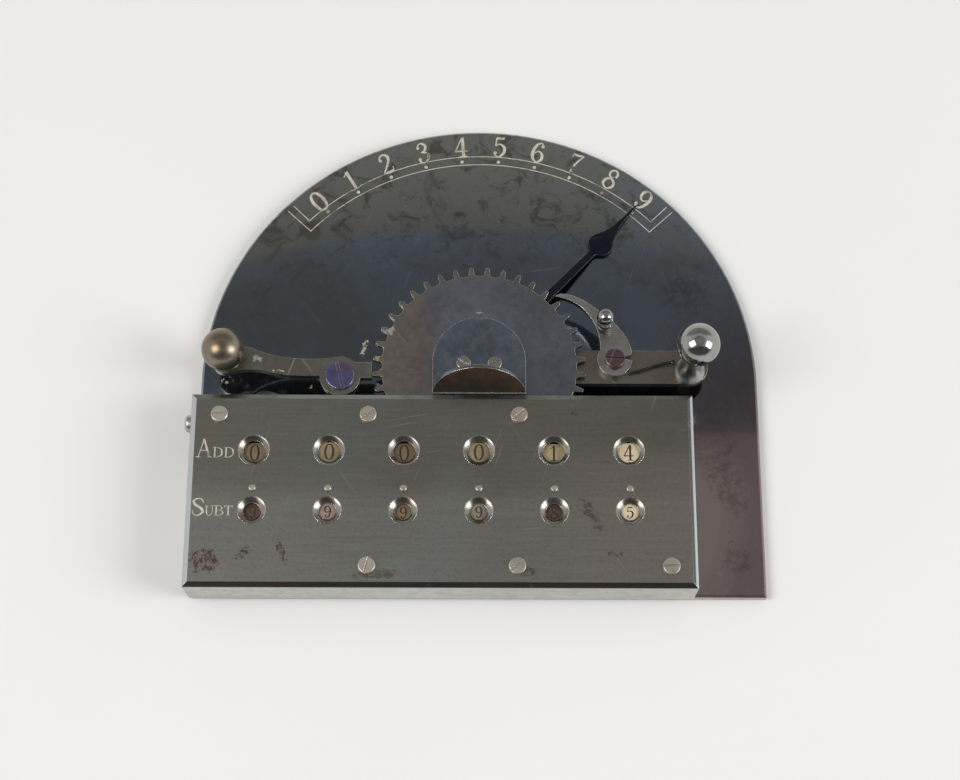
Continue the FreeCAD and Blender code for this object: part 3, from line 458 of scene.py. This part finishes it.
M = {
    "plate": plate_material(),
    "cover": cover_material(),
    "wheel": wheel_material(),
    "thumb": thumb_material(),
    "wall": worn_steel("wall_steel", srgb(189, 189, 184), srgb(179, 178, 172), srgb(150, 146, 138), 0.34,
                       40.0, srgb(90, 78, 64), 0.62, 0.0002, srgb(220, 218, 210)),
    "lever": worn_steel("lever_steel", srgb(136, 130, 123), srgb(126, 115, 106), srgb(94, 80, 68), 0.32,
                        70.0, srgb(116, 74, 50), 0.55, 0.0002, srgb(216, 206, 186)),
    "hold": worn_steel("hold_lever_steel", srgb(142, 141, 134), srgb(124, 118, 108), srgb(96, 88, 78), 0.32,
                       60.0, srgb(110, 84, 62), 0.58, 0.0002, srgb(214, 206, 188), node="hold_lever",
                       flakes=((-52.5, 1.8, 2.6, 1.6, -35), (-47.5, -1.2, 2.4, 0.9, -8),
                               (-56.8, 0.2, 2.0, 1.4, 0))),
    "pawl": worn_steel("pawl_steel", srgb(184, 184, 177), srgb(164, 158, 147), srgb(92, 82, 72), 0.24,
                       80.0, None, 0.6, 0.0002, srgb(240, 238, 228), 1.0),
    "mirror": worn_steel("mirror_steel", srgb(164, 166, 163), srgb(150, 151, 147), srgb(112, 110, 104), 0.13,
                         120.0, None, 0.6, 0.0001, None, 0.25, 0.000002),
    "big_knob": worn_steel("big_knob_steel", srgb(172, 174, 171), srgb(156, 157, 153),
                           srgb(112, 110, 104), 0.13,
                           120.0, None, 0.6, 0.0001, None, 0.25, 0.000002, node="lever_knob",
                           neck=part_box("lever_knob")[1][2] - 0.0098),
    "satin_knob": knob_material(),
    "bright": worn_steel("bright_steel", srgb(178, 176, 170), srgb(160, 156, 148), srgb(120, 112, 100), 0.26,
                         90.0, srgb(110, 84, 60), 0.62, 0.00015, srgb(226, 222, 212)),
    "screw": worn_steel("screw_steel", srgb(209, 203, 190), srgb(196, 187, 170), srgb(152, 138, 116), 0.38,
                        160.0, srgb(120, 96, 70), 0.64, 0.00018, srgb(232, 228, 214), 1.2),
    "tarnished_screw": worn_steel("tarnished_screw_steel", srgb(128, 100, 98), srgb(112, 92, 104),
                                  srgb(90, 70, 60),
                                  0.30, 160.0, srgb(80, 56, 40), 0.60, 0.00018, srgb(232, 214, 196)),
    "blue": worn_steel("blued_steel", srgb(112, 118, 172), srgb(146, 122, 128), srgb(74, 62, 78), 0.26,
                       220.0, None, 0.6, 0.00018, srgb(222, 212, 202)),
    "blue_black": worn_steel("blue_black_steel", srgb(40, 44, 58), srgb(52, 52, 66), srgb(40, 36, 40), 0.26,
                             120.0, None, 0.6, 0.00012, srgb(130, 130, 136), 0.3),
    "spring": worn_steel("spring_steel", srgb(70, 70, 72), srgb(90, 86, 82), srgb(60, 52, 46), 0.3,
                         160.0, srgb(100, 72, 50), 0.58, 0.00012, srgb(170, 166, 156)),
    # Its pale edge colour is a painted highlight round the window rims.
    "sink": worn_steel("polished_sink_steel", srgb(158, 156, 148), srgb(138, 134, 124), srgb(94, 84, 70),
                       0.24,
                       300.0, srgb(104, 84, 62), 0.60, 0.0002, srgb(240, 240, 232)),
    "brass": worn_steel("works_brass", srgb(180, 146, 84), srgb(160, 126, 70), srgb(110, 84, 48), 0.32,
                        90.0, srgb(84, 66, 40), 0.62, 0.00015, srgb(226, 196, 130)),
    "inlay": inlay_material(),
    "ink": ink_material(),
    "floor": floor_material(),
}

NODE_LOOK = {
    "base_plate": "plate", "carriage_cover": "cover", "drive_wheel": "wheel", "thumb_plate": "thumb",
    "carriage_front_wall": "wall", "carriage_left_end": "wall", "carriage_right_end": "wall",
    "carriage_floor": "wall", "carriage_back_rail": "wall", "lever_arm": "lever", "hold_lever": "hold",
    "hold_lever_knob": "satin_knob", "drive_pawl": "pawl", "lever_knob": "big_knob",
    "drive_pawl_knob": "mirror",
    "cover_screws": "screw", "guide_rail_screws": "screw", "thumb_plate_screws": "bright",
    "hinge_rod": "wall", "hold_spring_pin": "spring", "pawl_spring_pin": "spring",
    "pawl_screw": "tarnished_screw", "hold_lever_screw": "blue", "pointer": "blue_black",
    "hold_spring": "spring", "pawl_spring": "spring", "detent_springs": "spring", "detent_blocks": "brass",
}
# Outer tone, inner tone and dirt of each column's disc, from left to right.
DIAL_TONES = {
    1: (srgb(150, 130, 100), srgb(104, 84, 62), srgb(84, 66, 46)),
    2: (srgb(152, 132, 104), srgb(172, 152, 140), srgb(92, 74, 56)),
    3: (srgb(156, 136, 106), srgb(146, 124, 96), srgb(88, 70, 48)),
    4: (srgb(160, 142, 114), srgb(156, 144, 130), srgb(96, 78, 58)),
    5: (srgb(192, 176, 134), srgb(92, 78, 60), srgb(112, 94, 60)),
    6: (srgb(244, 228, 196), srgb(238, 222, 190), srgb(176, 148, 106)),
}
for name, obj in nodes.items():
    look = NODE_LOOK.get(name, "bright")
    if name.startswith("number_disc_"):
        corners = [Vector(c) for c in obj.bound_box]
        middle = sum(corners, Vector()) / 8
        look = "dial_" + name[-1]
        M[look] = dial_material(look, middle, *DIAL_TONES[int(name[-1])])
    elif name.startswith("arbor_"):
        look = "screw"
    elif name.startswith("star_wheel_"):
        look = "brass"
    obj.data.materials.clear()
    obj.data.materials.append(M[look])


# ---------------------------------------------------------------- flat strokes and figures
def catmull_rom(a, b, c, d, t):
    """Value at t between b and c, with a before them and d after them."""
    square = (2 * a - 5 * b + 4 * c - d) * t ** 2
    cube = (3 * b - a - 3 * c + d) * t ** 3
    return 0.5 * (2 * b + (c - a) * t + square + cube)


def smooth_path(points, steps=7):
    """Catmull-Rom curve through (x, y, width) points."""
    if len(points) < 3:
        return points
    out = []
    for i in range(len(points) - 1):
        p = [points[max(i - 1, 0)], points[i], points[i + 1], points[min(i + 2, len(points) - 1)]]
        for j in range(steps):
            out.append(tuple(catmull_rom(*values, j / steps) for values in zip(*p)))
    out.append(points[-1])
    return out


class Sheet:
    """Collects thin flat strokes into one mesh."""

    def __init__(self):
        self.verts = []
        self.faces = []
        self.lift = 0.0

    def ribbon(self, points, place, closed=False):
        path = smooth_path(points) if len(points) > 2 else points
        self.lift += STROKE_STEP
        lift = self.lift
        first = len(self.verts)
        count = len(path)
        for i, (x, y, w) in enumerate(path):
            if closed:
                ahead = path[(i + 1) % (count - 1)]
                behind = path[(i - 1) % (count - 1)] if i else path[count - 2]
            else:
                ahead = path[min(i + 1, count - 1)]
                behind = path[max(i - 1, 0)]
            dx, dy = ahead[0] - behind[0], ahead[1] - behind[1]
            size = math.hypot(dx, dy) or 1.0
            nx, ny = -dy / size * w / 2, dx / size * w / 2
            for side in (1, -1):
                px, py, pz = place(x + side * nx, y + side * ny)
                self.verts.append((px, py, pz + lift))
        for i in range(count - 1):
            a = first + 2 * i
            self.faces.append((a, a + 1, a + 3, a + 2))

    def dot(self, x, y, radius, place, sides=20):
        self.lift += STROKE_STEP
        first = len(self.verts)
        for i in range(sides):
            angle = 2 * math.pi * i / sides
            px, py, pz = place(x + radius * math.cos(angle), y + radius * math.sin(angle))
            self.verts.append((px, py, pz + self.lift))
        self.faces.append(tuple(range(first, first + sides)))

    def build(self, name, body, material, thickness=0.00004):
        mesh = bpy.data.meshes.new(name)
        mesh.from_pydata(self.verts, [], self.faces)
        mesh.materials.append(material)
        obj = bpy.data.objects.new(name, mesh)
        bpy.context.scene.collection.objects.link(obj)
        solid = obj.modifiers.new("depth", "SOLIDIFY")
        solid.thickness = thickness
        solid.offset = 0
        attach(obj, body)


# Each figure's strokes in a box one unit high: (x, y, width) points of lines and loops, (x, y, radius) dots.
FIGURES = {
    "0": {"loops": [[(0, 0.5, 0.07), (0.17, 0.38, 0.12), (0.25, 0.0, 0.15), (0.17, -0.38, 0.12),
                     (0, -0.5, 0.07),
                     (-0.17, -0.38, 0.12), (-0.25, 0.0, 0.15), (-0.17, 0.38, 0.12), (0, 0.5, 0.07)]]},
    "1": {"lines": [[(0.02, 0.5, 0.14), (0.02, -0.5, 0.14)], [(-0.2, 0.3, 0.05), (-0.08, 0.38, 0.06),
                                                              (0.02, 0.48, 0.09)],
                    [(-0.2, -0.48, 0.06), (0.24, -0.48, 0.06)]]},
    "2": {"lines": [[(-0.2, 0.2, 0.08), (-0.17, 0.38, 0.07), (0.0, 0.49, 0.08), (0.19, 0.36, 0.13),
                     (0.18, 0.14, 0.12),
                     (0.0, -0.14, 0.08), (-0.24, -0.44, 0.06)],
                    [(-0.25, -0.44, 0.1), (0.1, -0.44, 0.13), (0.25, -0.40, 0.09)], [(0.25, -0.42, 0.05),
                                                                                     (0.28, -0.22, 0.05)]],
          "dots": [(-0.17, 0.24, 0.075)]},
    "3": {"lines": [[(-0.2, 0.28, 0.07), (-0.12, 0.45, 0.06), (0.04, 0.49, 0.08), (0.18, 0.34, 0.13),
                     (0.13, 0.12, 0.1),
                     (-0.06, 0.04, 0.05)],
                    [(-0.06, 0.04, 0.05), (0.17, -0.04, 0.11), (0.23, -0.26, 0.14), (0.06, -0.49, 0.08),
                     (-0.15, -0.45, 0.06), (-0.22, -0.28, 0.07)]],
          "dots": [(-0.17, 0.29, 0.07), (-0.18, -0.3, 0.075)]},
    "4": {"lines": [[(0.1, 0.5, 0.14), (0.1, -0.5, 0.14)], [(0.08, 0.5, 0.06), (-0.28, -0.2, 0.06)],
                    [(-0.3, -0.2, 0.07), (0.3, -0.2, 0.07)], [(-0.08, -0.48, 0.06), (0.28, -0.48, 0.06)]]},
    "5": {"lines": [[(-0.16, 0.45, 0.1), (0.2, 0.45, 0.12)], [(-0.16, 0.48, 0.06), (-0.19, 0.06, 0.06)],
                    [(-0.19, 0.06, 0.05), (0.0, 0.15, 0.07), (0.2, 0.02, 0.13), (0.22, -0.24, 0.14),
                     (0.02, -0.49, 0.08),
                     (-0.17, -0.44, 0.06), (-0.23, -0.28, 0.07)]],
          "dots": [(-0.19, -0.3, 0.075)]},
    "6": {"lines": [[(0.19, 0.36, 0.07), (0.06, 0.49, 0.07), (-0.13, 0.36, 0.11), (-0.24, 0.0, 0.15),
                     (-0.2, -0.32, 0.13),
                     (0.0, -0.49, 0.08), (0.2, -0.34, 0.13), (0.2, -0.08, 0.12), (0.02, 0.06, 0.07),
                     (-0.17, -0.08, 0.06)]],
          "dots": [(0.16, 0.34, 0.075)]},
    "7": {"lines": [[(-0.25, 0.26, 0.05), (-0.22, 0.44, 0.06)], [(-0.24, 0.43, 0.12), (0.0, 0.41, 0.11),
                                                                 (0.25, 0.45, 0.09)],
                    [(0.25, 0.45, 0.06), (0.08, 0.14, 0.07), (-0.02, -0.18, 0.12), (-0.03, -0.5, 0.16)]]},
    "8": {"loops": [[(0, 0.5, 0.07), (0.15, 0.4, 0.1), (0.17, 0.22, 0.1), (0.0, 0.06, 0.1), (-0.17, 0.2, 0.1),
                     (-0.15, 0.4, 0.1), (0, 0.5, 0.07)],
                    [(0, 0.06, 0.1), (0.2, -0.1, 0.12), (0.22, -0.34, 0.12), (0, -0.5, 0.07),
                     (-0.22, -0.34, 0.12),
                     (-0.2, -0.1, 0.12), (0, 0.06, 0.1)]]},
    "A": {"lines": [[(0.0, 0.5, 0.07), (-0.26, -0.47, 0.05)], [(0.0, 0.5, 0.1), (0.28, -0.47, 0.14)],
                    [(-0.17, -0.12, 0.05), (0.18, -0.12, 0.05)], [(-0.38, -0.48, 0.05), (-0.14, -0.48, 0.05)],
                    [(0.14, -0.48, 0.05), (0.42, -0.48, 0.05)]]},
    "D": {"lines": [[(-0.2, 0.5, 0.13), (-0.2, -0.5, 0.13)], [(-0.32, 0.48, 0.05), (0.0, 0.48, 0.06),
                                                              (0.26, 0.28, 0.12),
                     (0.3, 0.0, 0.15), (0.26, -0.28, 0.12), (0.0, -0.48, 0.06), (-0.32, -0.48, 0.05)]]},
    "S": {"lines": [[(0.22, 0.24, 0.05), (0.16, 0.42, 0.06), (0.0, 0.49, 0.07), (-0.19, 0.36, 0.12),
                     (-0.14, 0.14, 0.14),
                     (0.12, -0.08, 0.15), (0.2, -0.3, 0.13), (0.0, -0.49, 0.07), (-0.18, -0.42, 0.06),
                     (-0.24, -0.22, 0.05)]]},
    "U": {"lines": [[(-0.22, 0.48, 0.13), (-0.22, -0.2, 0.12), (-0.1, -0.45, 0.08), (0.08, -0.47, 0.06),
                     (0.22, -0.22, 0.05),
                     (0.23, 0.48, 0.05)], [(-0.36, 0.48, 0.05), (-0.08, 0.48, 0.05)], [(0.1, 0.48, 0.05),
                                                                                       (0.36, 0.48, 0.05)]]},
    "B": {"lines": [[(-0.2, 0.5, 0.13), (-0.2, -0.5, 0.13)], [(-0.32, 0.48, 0.05), (0.04, 0.48, 0.06),
                                                              (0.2, 0.28, 0.12),
                     (0.05, 0.05, 0.06), (-0.2, 0.03, 0.05)], [(-0.1, 0.03, 0.05), (0.14, 0.0, 0.07),
                                                               (0.27, -0.24, 0.13),
                     (0.08, -0.47, 0.06), (-0.32, -0.48, 0.05)]]},
    "T": {"lines": [[(0.0, 0.48, 0.14), (0.0, -0.48, 0.14)], [(-0.3, 0.47, 0.06), (0.3, 0.47, 0.06)],
                    [(-0.3, 0.48, 0.05), (-0.3, 0.28, 0.04)], [(0.3, 0.48, 0.05), (0.3, 0.28, 0.04)],
                    [(-0.16, -0.48, 0.05), (0.16, -0.48, 0.05)]]},
}


def turned(shape):
    """The same figure upside down."""
    flip = {}
    for key, rows in shape.items():
        if key == "dots":
            flip[key] = [(-x, -y, r) for x, y, r in rows]
        else:
            flip[key] = [[(-x, -y, w) for x, y, w in row] for row in rows]
    return flip


FIGURES["9"] = turned(FIGURES["6"])


def write(sheet, figure, x, y, height, angle, z, weight=1.0, stretch=1.0):
    """Draws one figure centred at (x, y), its top pointing along the given angle from +Y, in metres."""
    ca, sa = math.cos(angle), math.sin(angle)

    def place(u, v):
        u, v = u * height * stretch, v * height
        return (x + u * ca - v * sa, y + u * sa + v * ca, z)

    shape = FIGURES[figure]
    for row in shape.get("lines", []):
        sheet.ribbon([(u, v, w * weight) for u, v, w in row], place)
    for row in shape.get("loops", []):
        sheet.ribbon([(u, v, w * weight) for u, v, w in row], place, True)
    for u, v, r in shape.get("dots", []):
        sheet.dot(u, v, r * weight, place)


# ---------------------------------------------------------------- engraved scale on the plate
SCALE_X, SCALE_Y = 0.1 * MM, -0.3 * MM
SCALE_STEP = math.radians(9.0)
LINE_IN, LINE_OUT, LINE_END = 57.1 * MM, 59.3 * MM, 65.0 * MM
FIGURE_RADIUS, FIGURE_HIGH = 62.5 * MM, 5.4 * MM
DOT_RADIUS = 58.0 * MM


def on_scale(radius, angle, z):
    return (SCALE_X + radius * math.sin(angle), SCALE_Y + radius * math.cos(angle), z)


def scale_engraving():
    """Figures, arc lines with end brackets and index dots."""
    z = PLATE_TOP + STROKE_GAP
    figures = Sheet()
    for digit in range(10):
        angle = (digit - 4.5) * SCALE_STEP
        x, y, _ = on_scale(FIGURE_RADIUS - 0.09 * MM * (9 - digit), angle, z)
        write(figures, str(digit), x, y, FIGURE_HIGH, -angle, z)
    figures.build("scale_figures", "base", M["inlay"])
    lines = Sheet()

    def flat(u, v):
        return (u, v, z)

    for radius, spread in ((LINE_IN, math.radians(47.1)), (LINE_OUT, math.radians(45.4))):
        path = [on_scale(radius, -spread + 2 * spread * i / 60, z) for i in range(61)]
        lines.ribbon([(p[0], p[1], 0.20 * MM) for p in path], flat)
        for side in (-1, 1):
            a = on_scale(radius - 0.1 * MM, side * spread, z)
            b = on_scale(LINE_END, side * spread, z)
            lines.ribbon([(a[0], a[1], 0.20 * MM), (b[0], b[1], 0.20 * MM)], flat)
    lines.build("scale_lines", "base", M["inlay"])
    dots = Sheet()
    for digit in range(10):
        x, y, _ = on_scale(DOT_RADIUS, (digit - 4.5) * SCALE_STEP, z)
        dots.dot(x, y, 0.42 * MM, flat)
    dots.build("scale_dots", "base", M["inlay"])


# Each letter: figure, x and y of its middle, height, sideways stretch (millimetres).
ROW_LABELS = {
    "add": (("A", -63.4, -21.2, 4.4, 1.05), ("D", -60.2, -22.2, 2.4, 1.35), ("D", -57.6, -22.2, 2.4, 1.35)),
    "subt": (("S", -64.0, -35.2, 4.1, 1.3), ("U", -61.4, -36.05, 2.3, 1.25), ("B", -59.2, -36.05, 2.3, 1.4),
             ("T", -57.1, -36.05, 2.3, 1.35)),
}


def row_labels():
    """The two generic words left of the windows."""
    z = COVER_TOP + STROKE_GAP
    for word, letters in ROW_LABELS.items():
        sheet = Sheet()
        for letter, x, y, high, stretch in letters:
            write(sheet, letter, x * MM, y * MM, high * MM, 0.0, z, 0.8, stretch)
        sheet.build("row_label_" + word, "carriage", M["inlay"])


# ---------------------------------------------------------------- number rings on the discs
def disc_figures():
    """An outer ring of 0 to 9 on each disc and an inner ring that runs the other way."""
    for k in COLUMNS:
        low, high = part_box("number_disc_%d" % k)
        x, y = (low[0] + high[0]) / 2, (low[1] + high[1]) / 2
        z = high[2] + STROKE_GAP
        sheet = Sheet()
        for value in range(10):
            turn = math.radians(36.0 * (value - DIGIT_SHOWN_ADD[k]))
            right, up = math.sin(turn), math.cos(turn)
            outer_x, outer_y = x - OUTER_RING * right, y + OUTER_RING * up
            write(sheet, str(value), outer_x, outer_y, OUTER_FIGURE, turn, z, 0.85)
            inner_x, inner_y = x + INNER_RING * right, y - INNER_RING * up
            write(sheet, str(9 - value), inner_x, inner_y, INNER_FIGURE, turn, z, 0.9)
        sheet.build("disc_figures_%d" % k, "number_wheel_%d" % k, M["ink"])


# ---------------------------------------------------------------- turned rims of the windows
def lathe(name, profile, x, y, body, material, sides=64):
    """Thin ring turned round a vertical axis from (radius, height) points in metres."""
    verts, faces = [], []
    for i in range(sides):
        angle = 2 * math.pi * i / sides
        for r, z in profile:
            verts.append((x + r * math.cos(angle), y + r * math.sin(angle), z))
    n = len(profile)
    for i in range(sides):
        for j in range(n):
            a, b = i * n + j, i * n + (j + 1) % n
            c, d = ((i + 1) % sides) * n + (j + 1) % n, ((i + 1) % sides) * n + j
            faces.append((a, b, c, d))
    mesh = bpy.data.meshes.new(name)
    mesh.from_pydata(verts, [], faces)
    mesh.materials.append(material)
    for face in mesh.polygons:
        face.use_smooth = True
    obj = bpy.data.objects.new(name, mesh)
    bpy.context.scene.collection.objects.link(obj)
    split = obj.modifiers.new("crisp", "EDGE_SPLIT")
    split.split_angle = math.radians(35)
    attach(obj, body)


RIM_DEPTH = 0.85 * MM
# Each window row: place of its middle from the disc's, radius of the countersink, radius of the hole.
WINDOW_ROWS = {"add": (OUTER_RING, 3.65 * MM, 2.55 * MM), "sub": (-INNER_RING, 3.3 * MM, 2.0 * MM)}


def rim_profile(sink, hole):
    """Outline of the countersink's thin polished skin, as (radius, height) points."""
    top = COVER_TOP - 0.02 * MM
    floor_z = top - RIM_DEPTH
    return [
        (sink - 0.03 * MM, top), (sink * 0.55 + hole * 0.45, top - RIM_DEPTH * 0.36),
        (hole + 0.05 * MM, floor_z + 0.06 * MM), (hole - 0.08 * MM, floor_z - 0.05 * MM),
        (hole - 0.08 * MM, floor_z - 0.2 * MM), (hole, floor_z - 0.2 * MM),
        (hole + 0.02 * MM, floor_z - 0.02 * MM), (sink - 0.03 * MM, top - 0.05 * MM),
    ]


def window_rims():
    for k in COLUMNS:
        low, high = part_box("number_disc_%d" % k)
        x, y = (low[0] + high[0]) / 2, (low[1] + high[1]) / 2
        for row, (offset, sink, hole) in WINDOW_ROWS.items():
            name = "window_rim_%s_%d" % (row, k)
            lathe(name, rim_profile(sink, hole), x, y + offset, "carriage", M["sink"])


scale_engraving()
row_labels()
disc_figures()
window_rims()

# ---------------------------------------------------------------- floor, light, camera
FLOOR_HALF = 3.0
FLOOR_Z = -0.2 * MM
floor_mesh = bpy.data.meshes.new("floor")
floor_corners = [(x * FLOOR_HALF, y * FLOOR_HALF, FLOOR_Z) for x, y in ((-1, -1), (1, -1), (1, 1), (-1, 1))]
floor_mesh.from_pydata(floor_corners, [], [(0, 1, 2, 3)])
floor_mesh.materials.append(M["floor"])
floor = bpy.data.objects.new("floor", floor_mesh)
bpy.context.scene.collection.objects.link(floor)


LAMP_DISTANCE, LAMP_SIZE, LAMP_POWER = 1.3, (0.58, 0.70), 7.0


def soft_light(name, direction, colour):
    """Soft rectangular light placed along a direction from the object and facing it."""
    data = bpy.data.lights.new(name, "AREA")
    data.shape = "RECTANGLE"
    data.size, data.size_y = LAMP_SIZE
    data.energy = LAMP_POWER
    data.color = colour
    lamp = bpy.data.objects.new(name, data)
    bpy.context.scene.collection.objects.link(lamp)
    lamp.location = Vector(direction).normalized() * LAMP_DISTANCE
    lamp.rotation_euler = Vector(direction).to_track_quat("Z", "Y").to_euler()


soft_light("softbox_left", (-0.57, -0.22, 0.79), (1.0, 0.985, 0.96))
soft_light("softbox_right", (0.78, -0.22, 0.58), (0.97, 0.985, 1.0))

world = bpy.data.worlds.new("studio")
bpy.context.scene.world = world
world.use_nodes = True
tree = world.node_tree
tree.nodes.clear()
w_out = tree.nodes.new("ShaderNodeOutputWorld")
w_back = tree.nodes.new("ShaderNodeBackground")
w_coord = tree.nodes.new("ShaderNodeTexCoord")
w_split = tree.nodes.new("ShaderNodeSeparateXYZ")
w_ramp = tree.nodes.new("ShaderNodeValToRGB")
tree.links.new(w_coord.outputs["Generated"], w_split.inputs[0])
tree.links.new(w_split.outputs["Z"], w_ramp.inputs[0])
band = w_ramp.color_ramp
# Brightness of the room from the horizon (0) to straight up (1).
stops = [(0.0, 0.88), (0.25, 0.82), (0.62, 0.74), (0.84, 0.55),
         (0.900, 0.36), (0.9125, 0.31), (0.9165, 0.165), (1.0, 0.16)]
while len(band.elements) < len(stops):
    band.elements.new(0.5)
for element, (place, level) in zip(band.elements, stops):
    element.position = place
    element.color = (level, level, level * 1.01, 1)
tree.links.new(w_ramp.outputs[0], w_back.inputs[0])


sky_x, sky_y, sky_z = w_split.outputs


def sky_span(value, low, high):
    node = tree.nodes.new("ShaderNodeMapRange")
    node.interpolation_type = "SMOOTHSTEP"
    tree.links.new(value, node.inputs["Value"])
    node.inputs["From Min"].default_value = low
    node.inputs["From Max"].default_value = high
    return node.outputs["Result"]


def sky_math(operation, a, b):
    node = tree.nodes.new("ShaderNodeMath")
    node.operation = operation
    for socket, value in zip(node.inputs, (a, b)):
        if isinstance(value, float):
            socket.default_value = value
        else:
            tree.links.new(value, socket)
    return node.outputs[0]


# A dark patch of room in front of the object, between the horizon and the camera.
room = sky_math("MULTIPLY", sky_span(sky_y, -0.34, -0.56), sky_span(sky_z, 0.04, 0.26))
# A paler stretch of ceiling straight above, with a slightly slanted edge.
slanted = sky_math("SUBTRACT", sky_y, sky_math("MULTIPLY", sky_x, 0.12))
ceiling = sky_math("MULTIPLY", sky_span(slanted, 0.285, 0.279), sky_span(sky_z, 0.925, 0.935))
# The far wall behind the object is darker than the paper it stands on.
wall_heights = sky_math("MULTIPLY", sky_span(sky_z, 0.10, 0.28), sky_span(sky_z, 0.84, 0.72))
wall = sky_math("MULTIPLY", sky_span(sky_y, 0.42, 0.60), wall_heights)
shade = sky_math("ADD", sky_math("MULTIPLY", room, 0.85), sky_math("MULTIPLY", wall, 0.60))
level = sky_math("ADD", sky_math("SUBTRACT", 1.0, shade), ceiling)
tree.links.new(level, w_back.inputs[1])
tree.links.new(w_back.outputs[0], w_out.inputs[0])

camera_data = bpy.data.cameras.new("camera")
camera_data.sensor_width = CAMERA_SENSOR
camera_data.lens = CAMERA_LENS
camera_data.clip_start = 0.01
camera_data.clip_end = 20.0
camera = bpy.data.objects.new("camera", camera_data)
bpy.context.scene.collection.objects.link(camera)
camera.matrix_world = (Matrix.Translation(CAMERA_PLACE)
                       @ Matrix.Rotation(CAMERA_TILT, 4, "X") @ Matrix.Rotation(CAMERA_ROLL, 4, "Z"))
bpy.context.scene.camera = camera
bpy.context.scene.view_settings.view_transform = "Standard"
